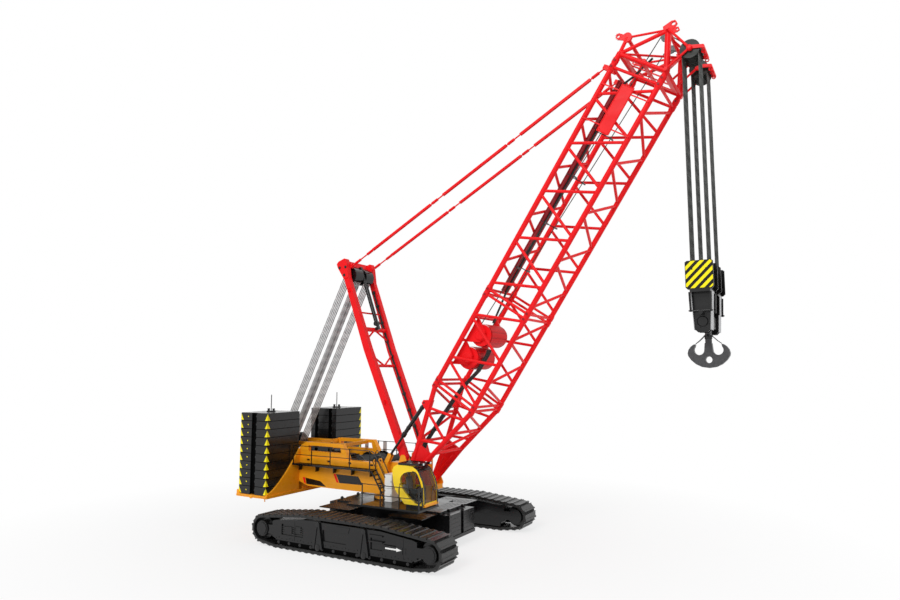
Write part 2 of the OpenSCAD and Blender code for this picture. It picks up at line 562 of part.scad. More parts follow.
module boom_insert() color([0.95, 0.2, 0.22]) on_boom() {
  chords(butt_end + fit, insert_end);
  end_frame(butt_end + 140, 140);
  end_frame(insert_end - 130, 140);
  // Bearers of the winches
  for (s = [6900, 8300, 9700]) rod(at(s, -chord_y, chord_hi), at(s, chord_y, chord_hi), 140);
}
// Room for the chords, to cut the lacing's ends to their round
module chord_room(s0, s1) for (y = [-chord_y, chord_y]) for (n = [chord_lo, chord_hi]) rod(at(s0, y, n), at(s1, y, n), chord_d + 2 * fit);
module boom_insert_lacing() color([0.95, 0.2, 0.22]) on_boom() difference() {
  lacing(butt_end + 180, 4, (insert_end - butt_end - 360) / 4, false, 1);
  chord_room(butt_end - 200, insert_end + 200);
}
module boom_winches() color([0.85, 0.16, 0.2]) on_boom() for (s = [7600, 9000]) {
  disc(s, 700, 430, -900, 900);
  for (y = [-1000, 880]) disc(s, 700, 580, y, y + 120);
  disc(s, 700, 150, -1060, 1060);
  both() slab_y([[s - 300, 500], [s + 300, 500], [s + 740, chord_hi - 90], [s + 740, chord_hi - 70 - fit], [s - 740, chord_hi - 70 - fit], [s - 740, chord_hi - 90]], 1030, 1165);
}
module boom_top() color([0.95, 0.2, 0.22]) on_boom() {
  chords(insert_end + fit, top_end);
  end_frame(insert_end + 140, 140);
  end_frame(pend_s, 150);
  // Pendant lugs on the end frame
  both() for (y = [pend_y - 100, pend_y + 55]) difference() {
    slab_y([[pend_s - 150, chord_hi - 40], [pend_s + 150, chord_hi - 40], [pend_s + 110, pend_up + 110], [pend_s - 110, pend_up + 110]], y, y + 45);
    disc(pend_s, pend_up, 60 + fit, y - 10, y + 70);
  }
}
lace_s = insert_end + 440;
lace_step = (top_end - insert_end - 790) / 4.5;
module boom_top_lacing() color([0.95, 0.2, 0.22]) on_boom() difference() {
  lacing(lace_s, 9, lace_step / 2, true, 0);
  chord_room(insert_end - 200, top_end + 200);
}
module boom_head() color([0.95, 0.2, 0.22]) on_boom() {
  u = [head_s, chord_hi]; v = [head_s, chord_lo]; t = [26140, -270]; h = [25240, 1410];
  for (y = [-chord_y, chord_y]) {
    for (n = [chord_lo, chord_hi]) rod(at(top_end + fit, y, n), at(head_s + 60, y, n), chord_d);
    rod(at(u[0], y, u[1]), at(t[0], y, t[1]), 180);
    rod(at(t[0], y, t[1]), at(v[0], y, v[1]), 290);
    rod(at(u[0], y, u[1]), at(v[0], y, v[1]), 200);
    rod(at(u[0], y, u[1]), at(h[0], y, h[1]), 180);
    rod(at(h[0], y, h[1]), at(t[0], y, t[1] + 60), 110);
    disc(h[0], h[1], 230, y - 70, y + 70);
    // Upper pin lug
    difference() {
      slab_y([[26060, -60], [26060, -470], [26250, -470], [26560, -500], [26660, -340], [26560, -180], [26200, 40]], y - 60, y + 60);
      disc(26490, -340, 90, y - 70, y + 70);
    }
    difference() {
      slab_y([[26050, -450], [26200, -700], [26330, -760], [26430, -640], [26350, -440]], y - 40, y + 40);
      disc(26310, -640, 50, y - 50, y + 50);
    }
    // Rear lug
    difference() {
      slab_y([[25100, 1350], [25330, 1400], [25290, 1900], [25180, 1990], [25050, 1940], [25000, 1800]], y - 50, y + 50);
      disc(25140, 1850, 70, y - 60, y + 60);
    }
  }
  for (p = [u, h]) rod(at(p[0], -chord_y, p[1]), at(p[0], chord_y, p[1]), 180);
  for (p = [v, t]) rod(at(p[0], -eye_out - 80, p[1]), at(p[0], eye_out + 80, p[1]), 170);
  rod(at(u[0], -chord_y, u[1]), at(t[0], chord_y, t[1]), 110);
  rod(at(v[0], -chord_y, v[1]), at(t[0], chord_y, t[1]), 110);
  // Plate across the foot of the head
  difference() {
    box(head_s - 25, head_s + 25, -chord_y, chord_y, chord_lo, chord_hi);
    for (y = [-1100, -330, 440]) for (n = [-850, 200]) box(head_s - 30, head_s + 30, y, y + 660, n, n + 800);
  }
  // Struts and eyes that carry the head sheaves
  for (y = [-eye_out, -eye_in, eye_in, eye_out]) {
    rod(at(v[0], y, v[1]), at(axle_s, y, axle_n), 110);
    rod(at(t[0], y, t[1]), at(axle_s, y, axle_n), 116);
    disc(axle_s, axle_n, 130, y - eye_half, y + eye_half);
  }
  // Rope guard rollers
  both() { rod(at(25910, 430, -2190), at(25910, 1750, -2190), 170);
    for (y = [430, 1700]) slab_y([[25650, -1780], [25750, -1600], [25990, -2160], [25870, -2270]], y, y + 50); }
}
head_s = top_end + 530;
// Eyes that carry the head sheaves: their places across and half their width
eye_in = pack_y - 700;
eye_out = pack_y + 610;
eye_half = 65;
// Pendant pins on the boom
pend_s = top_end - 140;
pend_up = 1930;
// The head sheaves' axle in boom measure
axle_s = (head_x - foot_x) * cos(boom_angle) + (head_z - foot_z) * sin(boom_angle);
axle_n = -(head_x - foot_x) * sin(boom_angle) + (head_z - foot_z) * cos(boom_angle);
pack_ys = [for (k = [-2.5 : 1 : 2.5]) pack_y + k * 190];
module boom_head_sheaves() color([0.2, 0.22, 0.2]) both() {
  disc(head_x, head_z, 75, eye_in + eye_half + fit, eye_out - eye_half - fit);
  for (y = pack_ys) sheave(head_x, head_z, y, groove_r, 44);
}
module boom_walkway() color([0.75, 0.12, 0.15]) on_boom() {
  box(insert_end + 260, top_end - 300, -360, 360, chord_hi - 190, chord_hi - 140);
  for (k = [0 : 8]) let(a = lace_s + lace_step * (k / 2 + 0.25))
    box(a - 100, a + 100, -100, 100, chord_hi - 145, chord_hi - lace_d / 2 - fit);
}
module sign_plate() color([0.95, 0.2, 0.22]) on_boom() {
  e = -chord_y - chord_d / 2 - fit;
  box(20710, 23150, e - 90, e - 50, -330, 360);
  for (s = [21000, 22800]) box(s, s + 60, e - 60, e, chord_lo - 40, chord_hi + 40);
}

// Half the width of the mast's feet, and how far its legs lean out
foot_half = 150;
leg_lean = 0.8;
function leg_y(s) = mast_y + s * tan(leg_lean);
module mast_frame() color([0.95, 0.2, 0.22]) on_mast() {
  o = mast_off;
  both() {
    // Leg, slimmer towards the head
    translate([0, mast_y, 0]) rotate([0, 0, leg_lean]) slab_y([[430, -205], [6500, o - 235], [mast_len - 1100, o - 165], [mast_len - 300, o - 165],
      [mast_len - 300, o + 165], [mast_len - 1100, o + 165], [6500, o + 205], [430, 225]], -155, 155);
    // Foot
    difference() {
      union() {
        slab_y([[0, -200], [420, -210], [620, -190], [620, 230], [420, 225], [60, 200], [0, 200]], mast_y - foot_half, mast_y + foot_half);
        disc(0, 0, 200, mast_y - foot_half, mast_y + foot_half);
      }
      disc(0, 0, 75 + fit, mast_y - 190, mast_y + 190);
    }
    // Head plates
    slab_y([[mast_len - 1200, o - 160], [mast_len - 350, o - 340], [mast_len - 60, o - 340], [mast_len, o - 260], [mast_len, o + 200], [mast_len - 90, o + 380],
      [mast_len - 350, o + 380], [mast_len - 1200, o + 160]], 1075, 1410);
    // Bearings of the sheaves
    disc(mast_len - 900, o + 70, 140, 1000, 1100);
    // Pendant lugs on the head beam
    for (y = [pend_y - 100, pend_y + 55]) slab_y([[mast_len - 370, o - 100], [mast_len - 100, o - 100], [mast_len - 100, o - 200],
      [mast_len - 400, o - 420], [mast_len - 570, o - 400], [mast_len - 600, o - 260], [mast_len - 500, o - 180]], y, y + 45);
  }
  // Head beam
  box(mast_len - 390, mast_len - 60, -1100, 1100, pend_n + pend_eye + pend_room, o + 230);
  // Cross members and bracing
  for (c = [[5460, 170], [7740, 260], [8800, 100]]) rod(at(c[0], -leg_y(c[0]), o), at(c[0], leg_y(c[0]), o), c[1]);
  for (k = [-1, 1]) {
    rod(at(7690, k * 70, o), at(6980, k * leg_y(6980), o), 110);
    rod(at(5510, k * 70, o), at(6220, k * leg_y(6220), o), 110);
  }
}
module mast_sheaves() color([0.12, 0.12, 0.12]) on_mast() {
  disc(mast_len - 900, mast_off + 70, 70, -1000 + fit, 1000 - fit);
  both() for (y = luff_ys) sheave(mast_len - 900, mast_off + 70, y, luff_r, 40);
}
module mast_cylinder() color([0.15, 0.15, 0.15]) on_mast() translate([0, 0, mast_off]) {
  rod(at(8080, 0, -280), at(10500, 0, -280), 240);
  rod(at(10500, 0, -280), at(11320, 0, -280), 150);
  disc(8040, -280, 150, -120, 120);
  box(7660, 7830, -90, 90, -380, -130 - fit);
  box(7700, 8060, -90, 90, -380, -250);
  box(11300, mast_len - 390 - fit, -90, 90, -340, -220);
  box(mast_len - 540, mast_len - 390 - fit, -90, 90, -340, -60);
}
// Pendant ends, taken from the boom and the mast at rest
pend_b = [foot_x + pend_s * cos(boom_angle) - pend_up * sin(boom_angle), foot_z + pend_s * sin(boom_angle) + pend_up * cos(boom_angle)];
pend_n = mast_off - 295;
// Radius of the pendants' eyes, and the room that they keep to the mast's head beam as the boom luffs
pend_eye = 100;
pend_room = 45;
pend_m = [mast_x + (mast_len - 500) * cos(mast_angle) - pend_n * sin(mast_angle), mast_z + (mast_len - 500) * sin(mast_angle) + pend_n * cos(mast_angle)];
module pendants() color([0.93, 0.19, 0.21]) {
  d = (pend_b - pend_m) / norm(pend_b - pend_m);
  len = norm(pend_b - pend_m);
  both() {
    for (p = [pend_b, pend_m]) disc(p[0], p[1], pend_eye, pend_y - 45, pend_y + 45);
    disc(pend_b[0], pend_b[1], 60, pend_y - 100, pend_y + 100);
    rod([pend_m[0], pend_y, pend_m[1]], [pend_b[0], pend_y, pend_b[1]], 80);
    // Couplings
    for (f = [0.02, 0.075, 0.36, 0.66, 0.955]) let(c = pend_m + d * (len * f), e = pend_m + d * (len * f + 420)) rod([c[0], pend_y, c[1]], [e[0], pend_y, e[1]], 160);
  }
}
// Backstop pins at rest
stop_g = [foot_x + 4340 * cos(boom_angle) - 1370 * sin(boom_angle), foot_z + 4340 * sin(boom_angle) + 1370 * cos(boom_angle)];
stop_u = (stop_e - stop_g) / norm(stop_e - stop_g);
stop_l = norm(stop_e - stop_g);
module backstop_barrels() color([0.14, 0.14, 0.14]) both() difference() {
  union() {
    disc(stop_g[0], stop_g[1], 105, chord_y - 100, chord_y + 100);
    disc(stop_g[0], stop_g[1], 50, chord_y - 170, chord_y + 170);
    let(a = stop_g + stop_u * 60, b = stop_g + stop_u * 2350) rod([a[0], chord_y, a[1]], [b[0], chord_y, b[1]], 215);
  }
  let(a = stop_g + stop_u * 250, b = stop_g + stop_u * 2400) rod([a[0], chord_y, a[1]], [b[0], chord_y, b[1]], 130 + 2 * fit);
}
module backstop_rods() color([0.3, 0.3, 0.3]) both() {
  disc(stop_e[0], stop_e[1], 95, chord_y - 60, chord_y + 60);
  let(a = stop_e - stop_u * 60, b = stop_g + stop_u * 1350) rod([a[0], chord_y, a[1]], [b[0], chord_y, b[1]], 130);
}

// Luffing ropes from the rear sheaves to the mast sheaves, in a lower and an upper half
rope_r = [rope_x, rope_z];
rope_n = mast_off + 70;
rope_m = [mast_x + (mast_len - 900) * cos(mast_angle) - rope_n * sin(mast_angle), mast_z + (mast_len - 900) * sin(mast_angle) + rope_n * cos(mast_angle)];
module rope_set(f0, f1) {
  d = (rope_m - rope_r) / norm(rope_m - rope_r); n = [-d[1], d[0]];
  both() for (y = luff_ys) for (k = [-luff_r, luff_r]) let(p = lerp(rope_r, rope_m, f0) + k * n, q = lerp(rope_r, rope_m, f1) + k * n)
    rod([p[0], y, p[1]], [q[0], y, q[1]], 40);
}
module luff_ropes() color([0.74, 0.74, 0.74]) rope_set(0, 0.5 - fit / norm(rope_m - rope_r));
module luff_ropes_upper() color([0.74, 0.74, 0.74]) rope_set(0.5, 1);

module hoist_ropes() color([0.22, 0.24, 0.22]) both() for (y = pack_ys) for (x = [-groove_r, groove_r])
  translate([head_x + x, y, block_z]) cylinder(h = head_z - block_z, d = 44);
module hook_block() color([0.28, 0.28, 0.28]) {
  for (s = [-1, 1]) {
    disc(head_x, block_z, 80, min(s * 520, s * 1740), max(s * 520, s * 1740));
    for (y = pack_ys) sheave(head_x, block_z, s * y, groove_r, 44);
    for (y = [520, 1720]) let(a = s * y, b = s * (y + 50))
      slab_y([[head_x - 585, block_z + 560], [head_x - 500, block_z + 620], [head_x + 500, block_z + 620], [head_x + 585, block_z + 560],
        [head_x + 585, block_z - 560], [head_x + 480, block_z - 660], [head_x - 480, block_z - 660], [head_x - 585, block_z - 560]], min(a, b), max(a, b));
    // Lower plates down to the crosshead
    for (y = [900, 1300]) let(a = s * y, b = s * (y + 60))
      slab_y([[head_x - 420, block_z - 560], [head_x + 420, block_z - 560], [head_x + 330, 11000], [head_x + 200, 10870], [head_x - 200, 10870], [head_x - 330, 11000]], min(a, b), max(a, b));
    box(head_x - 420, head_x + 420, min(s * 510, s * 1770), max(s * 510, s * 1770), block_z - 760, block_z - 600);
  }
  // Crosshead
  difference() {
    box(head_x - 260, head_x + 260, -1360, 1360, 11080, 11620);
    translate([head_x, 0, 11000]) cylinder(h = 800, d = 330);
  }
}
module hook() color([0.3, 0.3, 0.3]) {
  // Right half of the outline from the lowest point to the shank, with the round seat of the horn
  half = concat([[0, 9330], [300, 9375], [550, 9500], [760, 9690], [880, 9880], [900, 10000], [860, 10160], [760, 10300], [640, 10390], [557, 10410]],
    [for (a = [40 : -20 : -180]) [405 + 227 * cos(a), 10140 + 227 * sin(a)]], [[150, 10450]]);
  n = len(half);
  translate([head_x, 0, 10420]) cylinder(h = 1300, d = 290);
  translate([head_x, 0, 11620 + fit]) cylinder(h = 180, d = 520);
  difference() {
    slab_y(concat([for (p = half) [head_x + p[0], p[1]]], [for (i = [1 : n - 1]) [head_x - half[n - i][0], half[n - i][1]]]), -150, 150);
    disc(head_x, 9700, 150, -200, 200);
  }
}
car_body();
slew_ring();
weight_front();
weight_rear();
track_frame_right();
track_frame_left();
track_right();
track_left();
track_wheels_right();
track_wheels_left();
turntable();
winch_drums();
rear_frame();
luff_sheaves();
engine_block();
counterweight_tray();
counterweight_right();
counterweight_left();
cab_shell();
cab_glass();
cab_seat();
cab_roof_guard();
cab_door();
cab_door_glass();
cab_platform();
walkway_right();
walkway_left();
handrails();
boom_butt();
boom_butt_lacing();
boom_insert();
boom_insert_lacing();
boom_winches();
boom_top();
boom_top_lacing();
boom_head();
boom_head_sheaves();
boom_walkway();
sign_plate();
mast_frame();
mast_sheaves();
mast_cylinder();
pendants();
backstop_barrels();
backstop_rods();
luff_ropes();
luff_ropes_upper();
hoist_ropes();
hook_block();
hook();
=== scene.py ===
# %% [markdown]
# # A crawler crane with a lattice boom
# The solids of the crane come ready made and stay where they are. This lesson gives them
# their paint, steel, rope and glass, and adds the small pieces that a solid model leaves out.

# %% Load the frame
import bpy
import bmesh
import math
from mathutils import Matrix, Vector


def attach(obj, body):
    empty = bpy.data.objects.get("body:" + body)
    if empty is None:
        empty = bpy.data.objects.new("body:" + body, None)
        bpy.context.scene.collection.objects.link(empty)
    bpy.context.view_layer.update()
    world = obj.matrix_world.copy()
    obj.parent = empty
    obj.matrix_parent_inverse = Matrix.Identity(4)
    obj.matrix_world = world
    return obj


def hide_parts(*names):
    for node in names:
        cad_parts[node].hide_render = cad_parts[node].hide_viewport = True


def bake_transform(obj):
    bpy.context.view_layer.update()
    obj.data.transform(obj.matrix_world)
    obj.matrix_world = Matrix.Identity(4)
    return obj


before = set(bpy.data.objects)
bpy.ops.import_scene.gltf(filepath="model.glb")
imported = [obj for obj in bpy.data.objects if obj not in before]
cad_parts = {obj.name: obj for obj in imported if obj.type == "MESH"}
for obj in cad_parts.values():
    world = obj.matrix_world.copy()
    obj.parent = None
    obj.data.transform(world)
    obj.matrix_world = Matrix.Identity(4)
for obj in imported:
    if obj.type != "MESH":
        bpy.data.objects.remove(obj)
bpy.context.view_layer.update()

# %% [markdown]
# ## The camera
# The picture was taken from the crane's front right corner, a little above the tracks and
# tilted up by six degrees. A wide lens gives the strong convergence of the boom.

# %% Camera
CAMERA_AT = Vector((21.519, -31.457, 9.084))
YAW, PITCH = 0.5262, 0.1122
LENS_MM = 26.102

camera = bpy.data.objects.new("camera", bpy.data.cameras.new("camera"))
bpy.context.scene.collection.objects.link(camera)
ahead = Vector((-math.sin(YAW) * math.cos(PITCH), math.cos(YAW) * math.cos(PITCH), math.sin(PITCH)))
camera.location = CAMERA_AT
camera.rotation_mode = "QUATERNION"
camera.rotation_quaternion = ahead.to_track_quat("-Z", "Y")
camera.data.lens, camera.data.sensor_width = LENS_MM, 36.0
camera.data.clip_end = 2000.0
bpy.context.scene.camera = camera
bpy.context.scene.view_settings.view_transform = "Standard"
print("camera looks along", [round(v, 3) for v in ahead])

# %% [markdown]
# ## Two small tools for materials
# Paint colours are written as the hex codes of a paint chart. Blender mixes light in linear
# values, so one function converts them. Another adds a shader node with its settings and links.


# %% Colour and node tools
def linear(code):
    channels = [int(code[i:i + 2], 16) / 255 for i in (1, 3, 5)]
    return (*[c / 12.92 if c <= 0.04045 else ((c + 0.055) / 1.055) ** 2.4 for c in channels], 1.0)


def node(tree, kind, inputs=None, **settings):
    made = tree.nodes.new("ShaderNode" + kind)
    for name, value in settings.items():
        setattr(made, name, value)
    for socket, value in (inputs or {}).items():
        if isinstance(value, bpy.types.NodeSocket):
            tree.links.new(value, made.inputs[socket])
        else:
            made.inputs[socket].default_value = value
    return made


def new_material(name):
    made = bpy.data.materials.new(name)
    made.use_nodes = True
    made.node_tree.nodes.clear()
    return made, made.node_tree


print("a mid red in linear light:", [round(v, 3) for v in linear("#E8282D")])

# %% [markdown]
# ## Machine paint
# The steelwork carries two-pack polyurethane enamel, sprayed over primer. Spraying leaves a faint
# orange peel, about 4 mm across; it is drawn at 60 mm here, because less than that would not
# show on a machine 26 m long. Outdoors the upper faces gather a thin film of dust, and the shade and
# gloss vary from panel to panel, so both follow slow noise. Fine scuffs are stretched along one way.


# %% Sprayed enamel
PEEL_MM, PANEL_MM, SCUFF_MM = 60, 1600, 240


def sprayed_enamel(name, colour, roughness=0.34, dust=0.08, shine=0.4):
    made, tree = new_material(name)
    place = node(tree, "TexCoord").outputs["Object"]
    panel = node(tree, "TexNoise", {"Vector": place, "Scale": 1000 / PANEL_MM, "Detail": 3.0})
    peel = node(tree, "TexNoise", {"Vector": place, "Scale": 1000 / PEEL_MM, "Detail": 1.0})
    long_way = node(tree, "Mapping", {"Vector": place, "Scale": (0.15, 1.0, 1.0)})
    scuff = node(tree, "TexNoise", {"Vector": long_way.outputs[0], "Scale": 1000 / SCUFF_MM, "Detail": 5.0})
    shade = node(tree, "HueSaturation", {
        "Color": linear(colour),
        "Value": node(tree, "MapRange", {"Value": panel.outputs["Fac"], 1: 0.3, 2: 0.7, 3: 0.93,
                                         4: 1.05}).outputs[0]})
    up = node(tree, "SeparateXYZ", {0: node(tree, "NewGeometry").outputs["Normal"]})
    film = node(tree, "MapRange", {"Value": up.outputs["Z"], 1: 0.4, 2: 1.0, 3: 0.0, 4: dust})
    film_patchy = node(tree, "Math", {0: film.outputs[0], 1: panel.outputs["Fac"]}, operation="MULTIPLY")
    tint = node(tree, "Mix", {0: film_patchy.outputs[0], 6: shade.outputs[0], 7: linear("#A89F90")},
                data_type="RGBA")
    gloss = node(tree, "MapRange", {"Value": scuff.outputs["Fac"], 1: 0.35, 2: 0.75,
                                    3: roughness - 0.05, 4: roughness + 0.12})
    bump = node(tree, "Bump", {"Height": peel.outputs["Fac"], "Strength": 0.02, "Distance": 0.003})
    skin = node(tree, "BsdfPrincipled", {
        "Base Color": tint.outputs[2], "Roughness": gloss.outputs[0], "Normal": bump.outputs[0],
        "Specular IOR Level": shine})
    node(tree, "OutputMaterial", {"Surface": skin.outputs[0]})
    return made


red_enamel = sprayed_enamel("red_polyurethane_enamel", "#F2191F", shine=0.14)
deep_red_enamel = sprayed_enamel("dark_red_walkway_enamel", "#9C1D26", roughness=0.5, shine=0.2)
amber_enamel = sprayed_enamel("amber_polyurethane_enamel", "#FBA61A", roughness=0.3, shine=0.3)
cab_enamel = sprayed_enamel("yellow_cab_enamel", "#FFDA22", roughness=0.22, dust=0.03)
charcoal_enamel = sprayed_enamel("charcoal_gloss_enamel", "#121213", roughness=0.2, dust=0.03)
black_enamel = sprayed_enamel("black_gloss_enamel", "#0B0B0C", roughness=0.24, dust=0.02)
rope_black_enamel = sprayed_enamel("green_black_sheave_enamel", "#20231F", roughness=0.4, dust=0.02,
                                   shine=0.2)
grey_enamel = sprayed_enamel("light_grey_enamel", "#B4B5B7", roughness=0.4)
white_enamel = sprayed_enamel("white_enamel", "#F6F6F4", roughness=0.3, dust=0.03)
signal_yellow = sprayed_enamel("signal_yellow_reflective_film", "#FFF000", roughness=0.4, dust=0.0)
# Matt near-black that paints shade into slab joints, slots and pockets.
painted_shade_black = sprayed_enamel("painted_shade_black_matt", "#060606", roughness=0.8, dust=0.0, shine=0.03)
print("enamels mixed:", [m.name for m in bpy.data.materials if "enamel" in m.name])

# %% [markdown]
# ## Steel that is not painted
# Track shoes are cast manganese steel, oiled black and rubbed bright along the ground. The hook is
# forged, so it keeps a dark scale. Wire rope is laid from strands that wind round it.


# %% Bare steel
def bare_steel(name, colour, roughness, grit_mm, metallic=1.0, depth=0.2):
    made, tree = new_material(name)
    place = node(tree, "TexCoord").outputs["Object"]
    grit = node(tree, "TexNoise", {"Vector": place, "Scale": 1000 / grit_mm, "Detail": 4.0})
    shade = node(tree, "HueSaturation", {
        "Color": linear(colour),
        "Value": node(tree, "MapRange", {"Value": grit.outputs["Fac"], 1: 0.3, 2: 0.7, 3: 0.8,
                                         4: 1.15}).outputs[0]})
    gloss = node(tree, "MapRange", {"Value": grit.outputs["Fac"], 1: 0.3, 2: 0.7,
                                    3: roughness - 0.08, 4: roughness + 0.1})
    bump = node(tree, "Bump", {"Height": grit.outputs["Fac"], "Strength": depth, "Distance": 0.006})
    skin = node(tree, "BsdfPrincipled", {
        "Base Color": shade.outputs[0], "Roughness": gloss.outputs[0], "Metallic": metallic,
        "Normal": bump.outputs[0]})
    node(tree, "OutputMaterial", {"Surface": skin.outputs[0]})
    return made


track_steel = bare_steel("oiled_cast_manganese_steel", "#1E1E1E", 0.3, 90, metallic=0.1, depth=0.2)
forged_steel = bare_steel("forged_hook_steel", "#404042", 0.42, 120, metallic=0.2)
dark_iron = bare_steel("phosphated_dark_iron", "#1C1C1C", 0.35, 80, metallic=0.2, depth=0.1)
lamp_lens = bare_steel("moulded_clear_lens", "#F0F2F4", 0.15, 40, metallic=0.0, depth=0.4)
print("steels:", track_steel.name, forged_steel.name, dark_iron.name)

# %% [markdown]
# ## Wire rope
# A rope of 40 mm has six outer strands that make one turn in about 280 mm. The strands are drawn as
# slanting bands on each rope's own map: across it the map counts strands, along it turns.

# %% Rope material
LAY_MM, STRANDS = 280, 3


def wire_rope(name, light, dark):
    made, tree = new_material(name)
    laid = node(tree, "SeparateXYZ", {0: node(tree, "UVMap").outputs[0]})
    turn = node(tree, "Math", {0: laid.outputs["Y"], 1: 1000 / LAY_MM}, operation="MULTIPLY")
    wound = node(tree, "Math", {0: laid.outputs["X"], 1: float(STRANDS), 2: turn.outputs[0]},
                 operation="MULTIPLY_ADD")
    crown = node(tree, "Math", {0: wound.outputs[0], 1: 1.0}, operation="PINGPONG")
    tint = node(tree, "Mix", {0: crown.outputs[0], 6: linear(dark), 7: linear(light)}, data_type="RGBA")
    bump = node(tree, "Bump", {"Height": crown.outputs[0], "Strength": 0.6, "Distance": 0.006})
    skin = node(tree, "BsdfPrincipled", {
        "Base Color": tint.outputs[2], "Roughness": 0.45, "Metallic": 0.2, "Normal": bump.outputs[0]})
    node(tree, "OutputMaterial", {"Surface": skin.outputs[0]})
    return made


bright_rope = wire_rope("galvanised_wire_rope", "#D4D4D4", "#8E8F91")
greased_rope = wire_rope("greased_wire_rope", "#3A3D3A", "#1C1E1C")
print("ropes:", bright_rope.name, greased_rope.name)

# %% [markdown]
# ## Cab glass
# The cab is glazed with bronze tinted laminated glass, and its door with clear glass. A glass shader
# that bends light suits a thick lens. A pane is so thin that light goes straight through, so it is
# a tint mixed with a mirror that grows at a flat angle, on the outer side alone.

# %% Laminated glass
WASH_MM = 350


def laminated_glass(name, tint):
    made, tree = new_material(name)
    wash = node(tree, "TexNoise", {"Vector": node(tree, "TexCoord").outputs["Object"],
                                   "Scale": 1000 / WASH_MM})
    film = node(tree, "MapRange", {"Value": wash.outputs["Fac"], 3: 0.01, 4: 0.06})
    through = node(tree, "BsdfTransparent", {"Color": linear(tint)})
    mirror = node(tree, "BsdfGlossy", {"Roughness": film.outputs[0]})
    outside = node(tree, "Math", {0: 1.0, 1: node(tree, "NewGeometry").outputs["Backfacing"]},
                   operation="SUBTRACT")
    edge_on = node(tree, "Math", {0: node(tree, "Fresnel", {"IOR": 1.3}).outputs[0], 1: outside.outputs[0]},
                   operation="MULTIPLY")
    node(tree, "OutputMaterial", {"Surface": node(tree, "MixShader", {
        0: edge_on.outputs[0], 1: through.outputs[0], 2: mirror.outputs[0]}).outputs[0]})
    return made


tinted_glass = laminated_glass("bronze_tinted_laminated_glass", "#D2BEA6")
clear_glass = laminated_glass("clear_laminated_glass", "#EEF1F1")
print("glass:", tinted_glass.name, clear_glass.name)

# %% [markdown]
# ## Seat cloth and rubber
# The seat is woven wool cloth. Its threads are drawn 14 mm apart, coarser than the real ones, so that
# the weave shows through the window. A checker gives that without a picture. Hoses and window seals
# are moulded black rubber with a patchy gloss.

# %% Woven cloth and rubber
THREAD_MM, GRAIN_MM = 14, 25
seat_cloth, tree = new_material("woven_wool_seat_cloth")
place = node(tree, "TexCoord").outputs["Object"]
weave = node(tree, "TexChecker", {"Vector": place, "Scale": 1000 / THREAD_MM,
                                  "Color1": linear("#7C7E82"), "Color2": linear("#64666A")})
cloth = node(tree, "BsdfPrincipled", {
    "Base Color": weave.outputs[0], "Roughness": 0.92, "Sheen Weight": 0.3,
    "Normal": node(tree, "Bump", {"Height": weave.outputs[1], "Strength": 0.3,
                                  "Distance": 0.002}).outputs[0]})
node(tree, "OutputMaterial", {"Surface": cloth.outputs[0]})

black_rubber, tree = new_material("moulded_black_rubber")
grain = node(tree, "TexNoise", {"Vector": node(tree, "TexCoord").outputs["Object"],
                                "Scale": 1000 / GRAIN_MM})
rubber = node(tree, "BsdfPrincipled", {
    "Base Color": linear("#101010"),
    "Roughness": node(tree, "MapRange", {"Value": grain.outputs["Fac"], 3: 0.4, 4: 0.62}).outputs[0]})
node(tree, "OutputMaterial", {"Surface": rubber.outputs[0]})
print("soft materials:", seat_cloth.name, black_rubber.name)

# %% [markdown]
# ## Paint on the solids
# Each solid gets the finish of the real piece. The lists run from the ground up.

# %% Give the solids their finishes
finishes = {
    charcoal_enamel: ["car_body", "weight_front", "weight_rear", "track_frame_right", "track_frame_left",
                      "track_wheels_right", "track_wheels_left", "counterweight_right",
                      "counterweight_left",
                      "engine_block", "cab_platform", "walkway_right", "walkway_left", "backstop_rods"],
    track_steel: ["track_right", "track_left"],
    black_enamel: ["slew_ring", "winch_drums", "cab_roof_guard", "handrails", "mast_sheaves",
                   "mast_cylinder",
                   "backstop_barrels", "luff_sheaves", "hook_block"],
    rope_black_enamel: ["boom_head_sheaves"],
    amber_enamel: ["turntable", "rear_frame", "counterweight_tray"],
    cab_enamel: ["cab_shell", "cab_door"],
    red_enamel: ["boom_butt", "boom_butt_lacing", "boom_insert", "boom_insert_lacing", "boom_top",
                 "boom_top_lacing",
                 "boom_head", "sign_plate", "mast_frame", "pendants", "boom_winches"],
    deep_red_enamel: ["boom_walkway"],
    tinted_glass: ["cab_glass"],
    clear_glass: ["cab_door_glass"],
    seat_cloth: ["cab_seat"],
    bright_rope: ["luff_ropes", "luff_ropes_upper"],
    greased_rope: ["hoist_ropes"],
    forged_steel: ["hook"],
}
for finish, names in finishes.items():
    for name in names:
        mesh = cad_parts[name].data
        mesh.materials.clear()
        mesh.materials.append(finish)
print("solids painted:", sum(len(n) for n in finishes.values()), "of", len(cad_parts))

# %% [markdown]
# ## Flat shapes
# Added pieces are drawn in metres with a few shapes. The first is a plate cut to an outline, as from
# sheet steel. A scaled cube could stand for a plain plate, but an outline also gives tapers and curves.


# %% Plates and blocks
def plate(bm, outline, axis, low, high):
    spots = {"X": lambda a, b, h: (h, a, b), "Y": lambda a, b, h: (a, h, b), "Z": lambda a, b,
             h: (a, b, h)}[axis]
    rows = [[bm.verts.new(spots(a, b, h)) for a, b in outline] for h in sorted((low, high))]
    bm.faces.new(rows[0])
    bm.faces.new(rows[1][::-1])
    for i in range(len(outline)):
        j = (i + 1) % len(outline)
        bm.faces.new((rows[0][j], rows[0][i], rows[1][i], rows[1][j]))


def block(bm, x, y, z):
    plate(bm, [(x[0], y[0]), (x[1], y[0]), (x[1], y[1]), (x[0], y[1])], "Z", z[0], z[1])


print("flat shapes: plate, block")

# %% [markdown]
# ## Tubes
# A tube carries two directions along its points, so that it does not twist, and a map along it for the
# strands of rope. A curve with a bevel would do for hoses, but has no such map.


